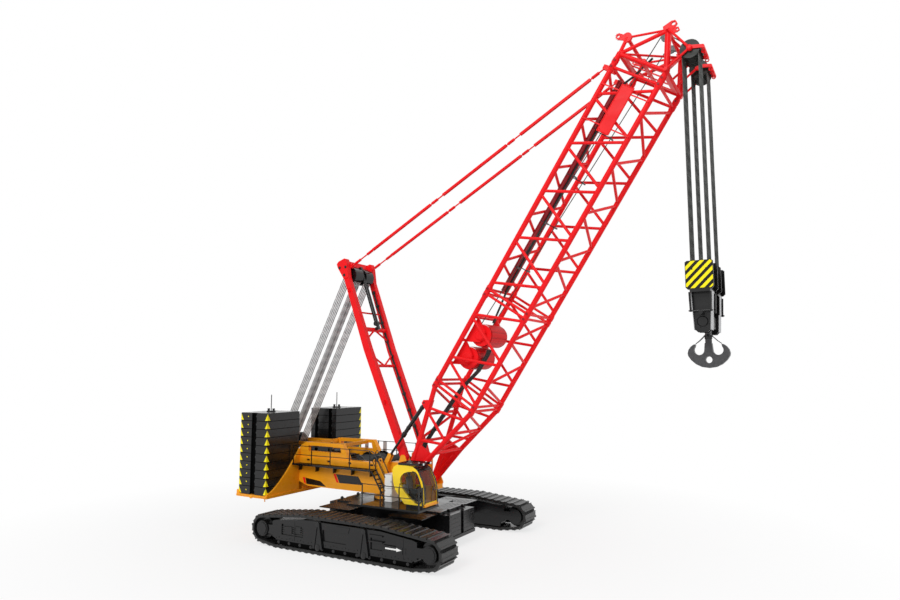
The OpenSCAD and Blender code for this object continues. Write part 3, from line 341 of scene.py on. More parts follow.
# %% Tubes
def square_to(axis):
    axis = Vector(axis).normalized()
    side = axis.orthogonal().normalized()
    return side, axis.cross(side)


def circle(centre, side, other, reach, count, offset=0.0):
    turns = [2 * math.pi * (k + offset) / count for k in range(count)]
    return [centre + reach * (math.cos(a) * side + math.sin(a) * other) for a in turns]


def tube(bm, points, radius, sides=10, closed=False):
    points = [Vector(p) for p in points]
    layer = bm.loops.layers.uv.verify()
    count, travelled, rings, lengths = len(points), 0.0, [], []
    for i, p in enumerate(points):
        before = points[i - 1] if i or closed else p
        after = points[(i + 1) % count] if i < count - 1 or closed else p
        along = (after - before).normalized()
        side = along.orthogonal().normalized() if i == 0 else (side - along * side.dot(along)).normalized()
        rings.append([bm.verts.new(q) for q in circle(p, side, along.cross(side), radius, sides)])
        travelled += (p - points[i - 1]).length if i else 0.0
        lengths.append(travelled)
    for i in range(count if closed else count - 1):
        j = (i + 1) % count
        far = lengths[j] if j else travelled + (points[0] - points[-1]).length
        for k in range(sides):
            m = (k + 1) % sides
            face = bm.faces.new((rings[i][k], rings[i][m], rings[j][m], rings[j][k]))
            for loop, uv in zip(face.loops, ((k, lengths[i]), (k + 1, lengths[i]), (k + 1, far), (k, far))):
                loop[layer].uv = (uv[0] / sides, uv[1])
    if not closed:
        bm.faces.new(rings[0][::-1])
        bm.faces.new(rings[-1])


print("tubes can be drawn")

# %% [markdown]
# ## Turned shapes
# A turned shape is a profile swept round an axis, as on a lathe. Bolt heads are small turned shapes set
# in a circle, and a ring is a closed tube.


# %% Turned shapes
def turned(bm, centre, axis, profile, sides=24):
    centre, axis = Vector(centre), Vector(axis).normalized()
    rings = [[bm.verts.new(q) for q in circle(centre + axis * h, *square_to(axis), r, sides)] for r,
             h in profile]
    for a, b in zip(rings, rings[1:]):
        for k in range(sides):
            m = (k + 1) % sides
            bm.faces.new((a[k], a[m], b[m], b[k]))
    bm.faces.new(rings[0][::-1])
    bm.faces.new(rings[-1])


def bolts(bm, centre, axis, reach, count, radius=0.03, height=0.025):
    for spot in circle(Vector(centre), *square_to(axis), reach, count, 0.5):
        turned(bm, spot, axis, [(radius, 0.0), (radius, height * 0.8), (radius * 0.8, height)], sides=6)


def ring(bm, centre, axis, reach, radius, sides=8, steps=20):
    tube(bm, circle(Vector(centre), *square_to(axis), reach, steps), radius, sides, closed=True)


print("turned shapes: turned, bolts, ring")

# %% [markdown]
# ## From shape to piece
# A drawn shape becomes an object with a finish and a body to ride on. Where a grinder would break its
# edges, a bevel modifier does, so the drawing itself stays simple.


# %% Make a piece
def piece(name, bm, finish, body, bevel_mm=0.0):
    bmesh.ops.recalc_face_normals(bm, faces=bm.faces)
    mesh = bpy.data.meshes.new(name)
    bm.to_mesh(mesh)
    bm.free()
    mesh.shade_smooth()
    mesh.set_sharp_from_angle(angle=math.radians(35))
    made = bpy.data.objects.new(name, mesh)
    bpy.context.scene.collection.objects.link(made)
    mesh.materials.append(finish)
    if bevel_mm:
        edge = made.modifiers.new("ground_edges", "BEVEL")
        edge.width, edge.segments, edge.limit_method = bevel_mm / 1000, 2, "ANGLE"
    if body:
        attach(made, body)
    print(name, len(mesh.polygons), "faces")
    return made


print("pieces can be made")

# %% [markdown]
# ## Measures on the boom and the mast
# The boom and the mast lean, so their pieces are placed by s, the way along from the foot pin, y across
# and n, the height out of the back. Two functions turn that into the crane's own frame.

# %% Boom and mast measures
BOOM_FOOT, BOOM_ANGLE = Vector((1.4, 0.0, 3.15)), math.radians(57.0)
MAST_FOOT, MAST_ANGLE = Vector((1.0, 0.0, 4.52)), math.radians(109.8)


def leaning(foot, angle, s, y, n):
    return foot + Vector((s * math.cos(angle) - n * math.sin(angle), y,
                          s * math.sin(angle) + n * math.cos(angle)))


def on_boom(s, y, n):
    return leaning(BOOM_FOOT, BOOM_ANGLE, s, y, n)


def on_mast(s, y, n):
    return leaning(MAST_FOOT, MAST_ANGLE, s, y, n)


def outline(place, points):
    return [(p.x, p.z) for p in [place(s, 0, n) for s, n in points]]


BOOM_ALONG = on_boom(1, 0, 0) - BOOM_FOOT
print("boom head at", [round(v, 2) for v in on_boom(26.17, 0, -0.25)])

# %% [markdown]
# ## Hoist ropes
# Twelve loops hang from the boom head to the hook block, each in the groove of an upper and a lower
# sheave.

# %% Hoist ropes
HEAD_AT, BLOCK_AT = Vector((16.79, 0, 23.73)), Vector((16.79, 0, 13.38))
PACK_Y = [1.15 + 0.19 * (k - 2.5) for k in range(6)]
GROOVE_R, HOIST_ROPE_R = 0.35, 0.024


def half_turn(at, along, reach, steps=12):
    across = Vector((-along.z, 0, along.x))
    turns = [math.pi * i / steps for i in range(steps + 1)]
    return [at + reach * (math.cos(t) * across + math.sin(t) * along) for t in turns]


def belt(bm, low, high, y, reach, radius, steps=12):
    along = (high - low).normalized()
    shift = Vector((0, y, 0))
    top, bottom = half_turn(high, along, reach), half_turn(low, -along, reach)
    parts = [i / steps for i in range(1, steps)]
    down = [top[-1].lerp(bottom[0], f) for f in parts]
    rise = [bottom[-1].lerp(top[0], f) for f in parts]
    tube(bm, [p + shift for p in top + down + bottom + rise], radius, sides=8, closed=True)


bm = bmesh.new()
for y in [side * v for side in (-1, 1) for v in PACK_Y]:
    belt(bm, BLOCK_AT, HEAD_AT, y, GROOVE_R, HOIST_ROPE_R)
falls = piece("hoist_falls_laid", bm, greased_rope, None)
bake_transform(falls)
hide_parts("hoist_ropes")

# %% [markdown]
# ## Luffing ropes
# Two bands of five loops tie the mast's head to the rear sheaves. They are galvanised, so they look
# bright grey. They lengthen when the boom comes down. One rigid loop could not do both ends, so the
# bends round the mast's sheaves are a piece of their own that stays with the mast, with short tails
# that meet the long ropes.

# %% Luffing ropes
REAR_AT, MAST_SHEAVE = Vector((-8.30, 0, 4.85)), (11.25, 0.45)
MAST_TOP = on_mast(MAST_SHEAVE[0], 0, MAST_SHEAVE[1])
LUFF_Y = [0.20 + 0.145 * k for k in range(5)]
LUFF_R, LUFF_ROPE_R, SHORT_OF_MAST = 0.40, 0.034, 0.40


def bight(bm, at, towards, y, tail, steps):
    along = (towards - at).normalized()
    turn = half_turn(at, -along, LUFF_R)[::-1]
    ends = [tail * i / steps * along for i in range(steps, 0, -1)]
    path = [turn[0] + e for e in ends] + turn + [turn[-1] + e for e in ends[::-1]]
    tube(bm, [p + Vector((0, y, 0)) for p in path], LUFF_ROPE_R, sides=8)


bm, at_mast = bmesh.new(), bmesh.new()
for y in [side * v for side in (-1, 1) for v in LUFF_Y]:
    bight(bm, REAR_AT, MAST_TOP, y, (MAST_TOP - REAR_AT).length - SHORT_OF_MAST, 12)
    bight(at_mast, MAST_TOP, REAR_AT, y, SHORT_OF_MAST + 0.01, 2)
piece("mast_sheave_rope", at_mast, bright_rope, "mast")
ropes = piece("luffing_ropes_laid", bm, bright_rope, None)
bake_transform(ropes)
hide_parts("luff_ropes", "luff_ropes_upper")

# %% [markdown]
# ## Line for the mast's sensors
# Two dark cables run between the bands of rope to a clamp on the inner ropes.

# %% Sensor line
LINE_END, LINE_X = 0.945, 0.05
bm = bmesh.new()
for y in (-0.03, 0.05):
    tube(bm, [REAR_AT.lerp(MAST_TOP, LINE_END * i / 12) + Vector((LINE_X, y, 0)) for i in range(13)], 0.03,
         sides=8)
clamp = REAR_AT.lerp(MAST_TOP, LINE_END) + Vector((LINE_X, 0, 0))
tube(bm, [clamp - Vector((0, 0.17, 0)), clamp + Vector((0, 0.17, 0))], 0.055, sides=8)
line = piece("mast_sensor_line", bm, black_rubber, None)
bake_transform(line)

# %% [markdown]
# ## Hook block
# Both outer cheeks carry slanting bands of yellow and black, each about 135 mm wide, so that the
# block is seen as it swings. Separate strips would need trimming at the edges, so the bands come from
# one sum of two coordinates, folded over and over, in the plates' own finish.

# %% Striped cheek plates
STRIPE_MM, WEAR_MM = 135, 300
striped, tree = new_material("yellow_black_warning_film")
spot = node(tree, "SeparateXYZ", {0: node(tree, "TexCoord").outputs["Object"]})
slant = node(tree, "Math", {0: spot.outputs["X"], 1: spot.outputs["Z"]}, operation="SUBTRACT")
count = node(tree, "Math", {0: slant.outputs[0], 1: 1000 / (STRIPE_MM * 2 * math.sqrt(2))},
             operation="MULTIPLY")
stripe = node(tree, "Math", {0: node(tree, "Math", {0: count.outputs[0]}, operation="FRACT").outputs[0],
                             1: 0.5},
            operation="GREATER_THAN")
tint = node(tree, "Mix", {0: stripe.outputs[0], 6: linear("#12110A"), 7: linear("#FFF014")},
            data_type="RGBA")
worn = node(tree, "TexNoise", {"Vector": node(tree, "TexCoord").outputs["Object"], "Scale": 1000 / WEAR_MM})
film = node(tree, "BsdfPrincipled", {
    "Base Color": tint.outputs[2], "Specular IOR Level": 0.2,
    "Roughness": node(tree, "MapRange", {"Value": worn.outputs["Fac"], 3: 0.3, 4: 0.55}).outputs[0]})
node(tree, "OutputMaterial", {"Surface": film.outputs[0]})

CHEEK = [(-0.56, 0.52), (-0.47, 0.60), (0.47, 0.60), (0.56, 0.52), (0.56, -0.52), (0.47, -0.60),
         (-0.47, -0.60),
         (-0.56, -0.52)]
bm = bmesh.new()
for side in (-1, 1):
    plate(bm, [(BLOCK_AT.x + a, BLOCK_AT.z + b) for a, b in CHEEK], "Y", side * 1.7705, side * 1.786)
piece("hook_block_warning_plates", bm, striped, "hook_block", bevel_mm=4)

# %% [markdown]
# ## Below the cheeks
# Dark bars frame the underside of each sheave pack, light grey plates close it fore and aft, and a
# round bar ties them. They are drawn in place, one side at a time, so both packs come out alike.

# %% Plates and frames under the block
CROSS_PLATE = [(0.414, 12.7), (0.434, 12.7), (0.350, 10.98), (0.330, 10.98)]
bm = bmesh.new()
for side in (-1, 1):
    for out in (-1, 1):
        plate(bm, [(BLOCK_AT.x + out * a, z) for a, z in CROSS_PLATE], "Y", side * 0.78, side * 1.48)
piece("hook_block_grey_facings", bm, grey_enamel, "hook_block", bevel_mm=3)

bm = bmesh.new()
for side in (-1, 1):
    for x in (-0.44, 0.44):
        for y in (side * 1.72, side * 0.56):
            tube(bm, [(BLOCK_AT.x + x, y, 12.62), (BLOCK_AT.x + x * 0.93, y, 11.75)], 0.06, sides=4)
    tube(bm, [(BLOCK_AT.x, side * 0.5, 11.72), (BLOCK_AT.x, side * 1.8, 11.72)], 0.09)
    tube(bm, [(BLOCK_AT.x - 0.5, side * 1.72, 11.8), (BLOCK_AT.x + 0.5, side * 1.72, 11.8)], 0.035)
    for x in (-0.29, 0.29):
        turned(bm, (BLOCK_AT.x + x, side * 1.786, BLOCK_AT.z + 0.24), (0, side, 0),
               [(0.035, 0), (0.03, 0.015)], 12)
    for x in (-0.36, 0.36):
        turned(bm, (BLOCK_AT.x + x, side * 1.15, BLOCK_AT.z + 0.62), (0, 0, 1),
               [(0.09, -0.05), (0.07, 0.06)], 12)
    for face, out in ((0.9, -1), (0.96, 1), (1.3, -1), (1.36, 1)):
        at = (BLOCK_AT.x, side * (face + out * 0.008), 11.35)
        turned(bm, at, (0, side * out, 0), [(0.24, 0), (0.2, 0.05)])
        bolts(bm, at, (0, side * out, 0), 0.28, 8)
piece("hook_block_frames", bm, black_enamel, "hook_block", bevel_mm=4)

# %% [markdown]
# ## Latches of the hook
# Two latches of bent spring wire close the horns, and a ring sits round the shank. Wire is a tube along
# a few points, which bends more simply than a plate would.

# %% Hook latches
bm = bmesh.new()
for side in (-1, 1):
    for y in (-0.09, 0.09):
        tube(bm, [(BLOCK_AT.x + side * a, y * b, z) for a, b, z in
                  ((0.14, 1.0, 10.78), (0.20, 1.0, 10.74), (0.38, 0.8, 10.56), (0.55, 0.3, 10.43))], 0.016,
                  sides=8)
    turned(bm, (BLOCK_AT.x + side * 0.15, -0.13, 10.77), (0, 1, 0), [(0.035, 0), (0.035, 0.26)], 12)
turned(bm, (BLOCK_AT.x, 0, 10.62), (0, 0, 1), [(0.146, 0), (0.165, 0.03), (0.165, 0.2), (0.146, 0.23)])
piece("hook_latches", bm, dark_iron, "hook")

# %% [markdown]
# ## Counterweights
# Each slab has a bright yellow triangle of film folded round its outer corners, point up, and a
# small yellow dot beside the slot. Film is thin, so the pieces are plates of 6 mm. The slot is backed
# with matt black painted shade, and a half-round lug in it takes the sling of each slab. The joints
# between the slabs are strips of the same painted shade.

# %% Counterweight marks
STACK_X, STACK_Y, STACK_Z, SLAB_H, SLABS = (-8.31, -6.20), (1.69, 4.26), 2.27, 0.457, 10
MID_X = (STACK_X[0] + STACK_X[1]) / 2
STACK_TOP = STACK_Z + SLABS * SLAB_H
BASE, LOW, HIGH, FILM = 0.20, 0.04, 0.41, 0.006
bm, dots, lugs, slot_shade = bmesh.new(), bmesh.new(), bmesh.new(), bmesh.new()
for side in (-1, 1):
    y = side * STACK_Y[1]
    for z in [STACK_Z + SLAB_H * k for k in range(SLABS)]:
        for corner, out in ((STACK_X[0], -1), (STACK_X[1], 1)):
            plate(bm, [(y + side * FILM, z + LOW), (y - side * BASE, z + LOW), (y + side * FILM, z + HIGH)],
                  "X", corner, corner + out * FILM)
            plate(bm, [(corner + out * FILM, z + LOW), (corner - out * BASE, z + LOW),
                       (corner + out * FILM, z + HIGH)],
                  "Y", y, y + side * FILM)
        turned(dots, (-7.74, y, z + 0.24), (0, side, 0), [(0.036, 0), (0.036, 0.004), (0.03, FILM)], 16)
        turned(lugs, (MID_X + 0.19, side * 4.155, z + 0.26), (0, side, 0),
               [(0.085, 0), (0.085, 0.07), (0.07, 0.085)])
        for x in (-0.57, 0.57):
            turned(lugs, (MID_X + x + 0.14, side * 1.775, z + 0.26), (0, -side, 0),
                   [(0.08, 0), (0.08, 0.06), (0.065, 0.075)])
    # Painted shade: matt black sheets at the back of the outer and inner slots.
    block(slot_shade, (MID_X - 0.185, MID_X + 0.185), (side * 4.138, side * 4.15),
          (STACK_Z + 0.01, STACK_TOP - 0.005))
    for x in (-0.57, 0.57):
        block(slot_shade, (MID_X + x - 0.135, MID_X + x + 0.135), (side * 1.78, side * 1.792),
              (STACK_Z + 0.01, STACK_TOP - 0.005))
# Painted shade: matt black strips in the joints between the slabs.
joints = bmesh.new()
for side in (-1, 1):
    for z in [STACK_Z + SLAB_H * k for k in range(1, SLABS)]:
        level = (z - 0.016, z + 0.016)
        for x in (STACK_X[0] - 0.003, STACK_X[1]):
            block(joints, (x, x + 0.003), (side * STACK_Y[0], side * STACK_Y[1]), level)
        for x0, x1 in ((STACK_X[0], MID_X - 0.2), (MID_X + 0.2, STACK_X[1])):
            block(joints, (x0, x1), (side * STACK_Y[1], side * (STACK_Y[1] + 0.003)), level)
        for x0, x1 in ((STACK_X[0], MID_X - 0.72), (MID_X - 0.42, MID_X + 0.42),
                       (MID_X + 0.72, STACK_X[1])):
            block(joints, (x0, x1), (side * STACK_Y[0], side * (STACK_Y[0] - 0.003)), level)
piece("counterweight_joint_painted_shade", joints, painted_shade_black, "upperworks")
piece("counterweight_triangles", bm, signal_yellow, "upperworks")
piece("counterweight_dots", dots, signal_yellow, "upperworks")
piece("counterweight_lugs", lugs, dark_iron, "upperworks", bevel_mm=3)
piece("counterweight_slot_painted_shade", slot_shade, painted_shade_black, "upperworks", bevel_mm=2)

# %% [markdown]
# ## Counterweight tray
# A round bar guards the outer edge of the tray, with a lashing eye at its middle and an upstand at
# its rear end. Bolted pads hold the curved front wall.

# %% Tray rail
bm = bmesh.new()
for side in (-1, 1):
    y = side * 4.335
    tube(bm, [(-8.42, y, 2.2), (-8.1, y, 2.23), (-6.4, y, 2.23), (-6.08, y, 2.2)], 0.035)
    turned(bm, (-7.255, side * 4.3, 2.17), (0, side, 0), [(0.1, 0), (0.1, 0.06), (0.08, 0.075)])
    plate(bm, [(-8.43, 2.26), (-8.2, 2.26), (-8.26, 2.42), (-8.37, 2.5), (-8.43, 2.44)], "Y", side * 4.265,
          side * 4.315)
    turned(bm, (-6.3, side * 4.2, 1.95), (0, 0, 1), [(0.025, 0), (0.03, 0.02), (0.03, 0.18)], 12)
    for k in range(6):
        t = k / 5
        bolts(bm, (-6.1, side * (4.2 - 2.2 * t), 2.24 + 0.1 * t), (1, 0, 0), 0.0, 1, 0.035)
piece("counterweight_tray_rail", bm, amber_enamel, "upperworks", bevel_mm=3)

# %% [markdown]
# ## Side panels
# The side panels are plain black film with a slanting red bar at the front of each, on both sides of
# the main frame. Film has a little thickness, so each is a thin plate rather than a painted patch.
# The slots of the upper rail are lined in black.

# %% Bare side panels
FRAME_Y = 1.69
DARK_PANELS = [[(-3.30, 3.366), (-1.71, 3.354), (-1.38, 2.905), (-3.05, 2.89)],
               [(-5.62, 3.0), (-4.47, 2.88), (-4.03, 2.6), (-5.52, 2.64)]]
RED_BARS = [[(-3.50, 3.37), (-3.344, 3.38), (-3.10, 2.90), (-3.26, 2.91)],
            [(-5.84, 3.03), (-5.66, 3.01), (-5.56, 2.64), (-5.70, 2.69)]]
bm, bars = bmesh.new(), bmesh.new()
for side in (-1, 1):
    for panel in DARK_PANELS:
        plate(bm, panel, "Y", side * FRAME_Y, side * (FRAME_Y + 0.008))
    for bar in RED_BARS:
        plate(bars, bar, "Y", side * FRAME_Y, side * (FRAME_Y + 0.008))
    for x in (-5.43, -3.88, -2.34, -0.79):
        block(bm, (x - 0.11, x + 0.11), (side * 1.631, side * 1.64), (3.985, 4.085))
piece("bare_side_panels", bm, black_enamel, "upperworks", bevel_mm=3)
piece("side_panel_red_bars", bars, red_enamel, "upperworks", bevel_mm=3)

# %% [markdown]
# ## Winches
# The drums of the upperworks and of the boom hold rope in close turns. One turned profile with a crest
# for each turn gives that, which is far lighter than a real helix.


# %% Rope on the drums
def winding(bm, centre, radius, half, pitch=0.05):
    turns = int(2 * half / pitch)
    profile = [(radius - 0.03, -half)]
    for k in range(turns):
        profile += [(radius, -half + pitch * (k + 0.1)), (radius + 0.02, -half + pitch * (k + 0.5))]
    turned(bm, centre, (0, 1, 0), profile + [(radius, half), (radius - 0.03, half)], sides=24)


DRUMS = [(-0.645, 3.98, 0.54), (-2.10, 3.93, 0.55), (-3.25, 3.83, 0.50)]
bm, studs = bmesh.new(), bmesh.new()
for x, z, flange in DRUMS:
    winding(bm, (x, 0, z), flange - 0.14, 1.17)
    for side in (-1, 1):
        bolts(studs, (x, side * 1.25, z), (0, side, 0), flange - 0.08, 16)
        turned(studs, (x, side * 1.25, z), (0, side, 0), [(0.26, 0), (0.26, 0.04), (0.2, 0.07)])
piece("winch_drum_rope", bm, greased_rope, "upperworks")
piece("winch_drum_bolts", studs, black_enamel, "upperworks")

# %% [markdown]
# ## Punched sheet
# On the boom, red sheet steel guards the rope. It is punched with holes 60 mm apart. Cutting thousands of
# holes would be heavy, so a regular cell pattern paints them dark.

# %% Punched sheet
HOLE_MM = 60
punched_sheet, tree = new_material("red_punched_steel_sheet")
grid = node(tree, "TexVoronoi", {"Vector": node(tree, "TexCoord").outputs["Object"],
                                 "Scale": 1000 / HOLE_MM, "Randomness": 0.0})
hole = node(tree, "Math", {0: grid.outputs["Distance"], 1: 0.3}, operation="LESS_THAN")
tint = node(tree, "Mix", {0: hole.outputs[0], 6: linear("#E01A20"), 7: linear("#5C1114")}, data_type="RGBA")
skin = node(tree, "BsdfPrincipled", {"Base Color": tint.outputs[2], "Roughness": 0.45,
                                     "Specular IOR Level": 0.14})
node(tree, "OutputMaterial", {"Surface": skin.outputs[0]})
print("sheet:", punched_sheet.name)

# %% [markdown]
# ## Winches of the boom
# Two winches lie in the boom's middle section. Each has wound rope, a motor at both ends and a guard
# bent round its lower side, which is one outline of two arcs.

# %% Boom winches
WINCH_S, WINCH_N = (7.6, 9.0), 0.7
bm, studs = bmesh.new(), bmesh.new()
for s in WINCH_S:
    winding(bm, on_boom(s, 0, WINCH_N), 0.46, 0.87)
    for side in (-1, 1):
        bolts(studs, on_boom(s, side * 1.0, WINCH_N), (0, side, 0), 0.5, 18)
        turned(studs, on_boom(s, side * 1.06, WINCH_N), (0, side, 0),
               [(0.3, -0.06), (0.3, 0.1), (0.24, 0.16), (0.1, 0.18)])
piece("boom_winch_rope", bm, greased_rope, "boom")
bm = bmesh.new()
GUARD = [math.radians(a) for a in range(130, 391, 10)]
for s in WINCH_S:
    wrap = [(s + r * math.cos(a), WINCH_N + r * math.sin(a))
            for r, turn in ((0.61, GUARD), (0.60, GUARD[::-1])) for a in turn]
    plate(bm, outline(on_boom, wrap), "Y", -0.9, 0.9)
piece("boom_winch_guards", bm, punched_sheet, "boom")
piece("boom_winch_motors", studs, red_enamel, "boom", bevel_mm=3)

# %% [markdown]
# ## Engine cover
# The cover has louvres across its top and sides, a round filler cap and a silencer. Each louvre is a
# plate with a slanted outline, so that its edge catches the light.

# %% Louvres and silencer
bm = bmesh.new()
for k in range(16):
    x = -5.5 + 0.1 * k
    plate(bm, [(x, 4.2), (x + 0.07, 4.2), (x + 0.02, 4.245), (x - 0.02, 4.245)], "Y", -0.95, 0.95)
for side in (-1, 1):
    for k in range(9):
        z = 3.0 + 0.12 * k
        plate(bm, [(side * 1.15, z), (side * 1.15, z + 0.09), (side * 1.2, z + 0.03), (side * 1.2, z)], "X",
              -5.5, -4.0)
turned(bm, (-4.6, 0.3, 4.4), (0, 1, 0), [(0.1, -0.75), (0.19, -0.7), (0.19, 0.3), (0.1, 0.35)])
tube(bm, [(-4.6, 0.6, 4.4), (-4.6, 0.75, 4.42), (-4.6, 0.8, 4.55), (-4.62, 0.8, 4.9)], 0.075)
turned(bm, (-5.3, -0.6, 4.2), (0, 0, 1), [(0.11, 0), (0.11, 0.07), (0.09, 0.09)])
piece("engine_louvres", bm, black_enamel, "upperworks", bevel_mm=2)

# %% [markdown]
# ## Walkways and rails
# Bars across the walkways keep boots from slipping. On the left side pale panels close the gaps between
# the rails' posts. Thin bars of four sides are enough at this size.

# %% Walkway bars and rail panels
bm = bmesh.new()
for side in (-1, 1):
    for k in range(46):
        x = -6.0 + 0.12 * k
        tube(bm, [(x, side * 1.72, 3.845), (x, side * 2.30, 3.845)], 0.014, sides=4)
    tube(bm, [(-6.09, side * 2.325, 3.86), (-0.41, side * 2.325, 3.86)], 0.03, sides=4)
piece("walkway_grip_bars", bm, charcoal_enamel, "upperworks")

bm = bmesh.new()
for x in (-4.17, -2.76, -1.38):
    plate(bm, [(x - 0.12, 4.3), (x + 0.12, 4.3), (x + 0.12, 4.86), (x + 0.09, 4.9), (x - 0.09, 4.9),
               (x - 0.12, 4.86)],
          "Y", 2.284, 2.296)
    for dx in (-0.12, 0.12):
        tube(bm, [(x + dx, 2.29, 3.84), (x + dx, 2.29, 4.9)], 0.018, sides=8)
piece("rail_panels_left", bm, grey_enamel, "upperworks")

# %% [markdown]
# ## Hand rails of the ladder
# The ladder has bent hand rails, and the cab's platform a grab bar in front. They are tubes bent through
# a few points.

# %% Ladder rails
bm = bmesh.new()
for y in (-2.29, -1.79):
    tube(bm, [(-0.46, y, 3.86), (-0.46, y, 4.78), (-0.36, y, 4.88), (-0.2, y, 4.8), (0.62, y, 3.42),
              (0.66, y, 3.3),
              (0.66, y, 2.34)], 0.024)
    tube(bm, [(-0.28, y, 4.35), (0.64, y, 2.86)], 0.018)
for p, q in (((1.4, -3.58, 2.34), (1.4, -3.58, 3.4)), ((3.5, -3.55, 2.34), (3.5, -1.85, 2.34))):
    tube(bm, [p, q], 0.018)
tube(bm, [(3.6, -1.9, 2.35), (3.62, -1.9, 3.0), (3.66, -1.95, 3.15), (3.66, -2.4, 3.2)], 0.018)
piece("ladder_hand_rails", bm, black_enamel, "upperworks")

# %% [markdown]
# ## The cab's trim
# A dark pillar follows the curved front corner, and the front half of the door's window has a dark
# rubber rim. Both use the cab's own outline, moved outwards by a few millimetres.

# %% Cab outlines and pillars
CAB_X1, CAB_Z0, CAB_Z1, CAB_Y0, CAB_Y1 = 3.56, 2.49, 4.40, -3.10, -1.80
CAB_MID = Vector((CAB_X1 - 0.9, (CAB_Z0 + CAB_Z1) / 2))
FRONT = [(CAB_X1, CAB_Z0 + 0.08), (CAB_X1, CAB_Z0 + 0.5), (CAB_X1 - 0.03, CAB_Z0 + 0.8),
         (CAB_X1 - 0.124, CAB_Z0 + 1.17),
         (CAB_X1 - 0.38, CAB_Z1 - 0.27), (CAB_X1 - 0.45, CAB_Z1 - 0.18), (CAB_X1 - 0.68, CAB_Z1 - 0.04)]
OVAL = [(-1.427, 1.218), (-1.39, 1.0), (-1.26, 0.74), (-1.138, 0.613), (-0.809, 0.321), (-0.56, 0.18),
        (-0.346, 0.13),
          (-0.2, 0.17), (-0.125, 0.331), (-0.145, 0.64), (-0.175, 0.83), (-0.3, 1.19), (-0.41, 1.45),
          (-0.517, 1.58),
          (-0.7, 1.625), (-0.959, 1.6), (-1.2, 1.52), (-1.36, 1.38)]
WINDOW = [(CAB_X1 + a, CAB_Z0 + b) for a, b in OVAL]


def grown(points, amount):
    moved = []
    for p in points:
        away = Vector(p) - CAB_MID
        moved.append(tuple(Vector(p) + amount * away.normalized()))
    return moved


def band(points, inner, outer):
    return grown(points, outer) + grown(points, inner)[::-1]


bm = bmesh.new()
for low, high in ((CAB_Y0, CAB_Y0 + 0.12), (CAB_Y1 - 0.1, CAB_Y1)):
    plate(bm, band(FRONT, -0.005, 0.012), "Y", low, high)
plate(bm, band(FRONT[-3:], -0.005, 0.014), "Y", CAB_Y0, CAB_Y1)
tube(bm, [(3.57, -2.45, 2.62), (3.575, -2.4, 2.95), (3.545, -2.15, 3.35)], 0.014, sides=6)
tube(bm, [(3.565, -2.33, 3.2), (3.535, -2.05, 3.42)], 0.018, sides=6)
piece("cab_front_pillars", bm, black_enamel, "upperworks", bevel_mm=4)

# %% [markdown]
# ## Door rim and sill
# The rim rides on the door, so it slides with it. The amber sill below the windscreen stays with the cab.

# %% Door rim and sill
bm = bmesh.new()
plate(bm, band(WINDOW[5:15], 0.0, 0.06), "Y", CAB_Y0 - 0.0403, CAB_Y0 - 0.052)
tube(bm, [(x, CAB_Y0 - 0.044, z) for x, z in grown(WINDOW, 0.004)], 0.012, sides=6, closed=True)
turned(bm, (2.13, CAB_Y0 - 0.04, 3.46), (0, -1, 0), [(0.03, 0), (0.03, 0.03), (0.02, 0.04)], 12)
tube(bm, [(2.12, CAB_Y0 - 0.075, 3.5), (2.12, CAB_Y0 - 0.075, 3.3)], 0.014, sides=6)
piece("cab_door_rim", bm, black_rubber, "cab_door")

bm = bmesh.new()
plate(bm, [(3.44, 2.40), (3.60, 2.42), (3.61, 2.50), (3.56, 2.55), (3.44, 2.55)], "Y", CAB_Y0, CAB_Y1)
piece("cab_front_sill", bm, amber_enamel, "upperworks", bevel_mm=8)

# %% [markdown]
# ## Lamps on the roof guard
# Two work lamps stand at the front of the roof guard. Each has a pressed lens in a rim, turned from one
# stepped profile.

# %% Lamps
bm = bmesh.new()
for y in (CAB_Y0 + 0.31, CAB_Y1 - 0.31):
    turned(bm, (CAB_X1 - 0.25, y, CAB_Z1 + 0.085), (1, 0, 0),
           [(0.06, 0), (0.06, 0.015), (0.045, 0.03), (0.02, 0.035)])
    turned(bm, (CAB_X1 - 0.60, y + 0.12, CAB_Z1 + 0.085), (0, 0, 1),
           [(0.05, 0.025), (0.05, 0.035), (0.03, 0.05)])
piece("cab_lamp_lenses", bm, lamp_lens, "upperworks")

# %% [markdown]
# ## Operator's seat
# The seat is upholstered foam under woven cloth. Each pad starts as a rounded block of a fine grid,
# is crowned in the middle and drawn in along its edges where the seam pulls, and is then smoothed by
# subdivision. The pads stand inside the room that the solid seat holds.


# %% Seat pads
def pad(name, centre, size, lean=0.0, crown=0.03):
    bm = bmesh.new()
    bmesh.ops.create_cube(bm, size=1.0)
    bmesh.ops.subdivide_edges(bm, edges=bm.edges[:], cuts=5, use_grid_fill=True)
    for v in bm.verts:
        a, b, c = (2 * k for k in v.co)
        swell = (1 - a * a) * (1 - b * b)
        pull = 0.94 + 0.06 * (1 - abs(c) ** 4)
        seam = -0.012 if abs(abs(b) - 0.66) < 0.05 and abs(c) > 0.9 else 0.0
        x, y = a * size[0] / 2 * pull, b * size[1] / 2 * pull
        z = c * (size[2] / 2 - crown + crown * swell + seam)
        v.co = Vector((x * math.cos(lean) + z * math.sin(lean), y, z * math.cos(lean) - x * math.sin(lean)))
        v.co += Vector(centre)
    made = piece(name, bm, seat_cloth, None)
    made.data.set_sharp_from_angle(angle=math.pi)
    made.modifiers.new("upholstery", "SUBSURF").levels = 1
    made.modifiers["upholstery"].render_levels = 1
    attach(made, "upperworks")
    return made


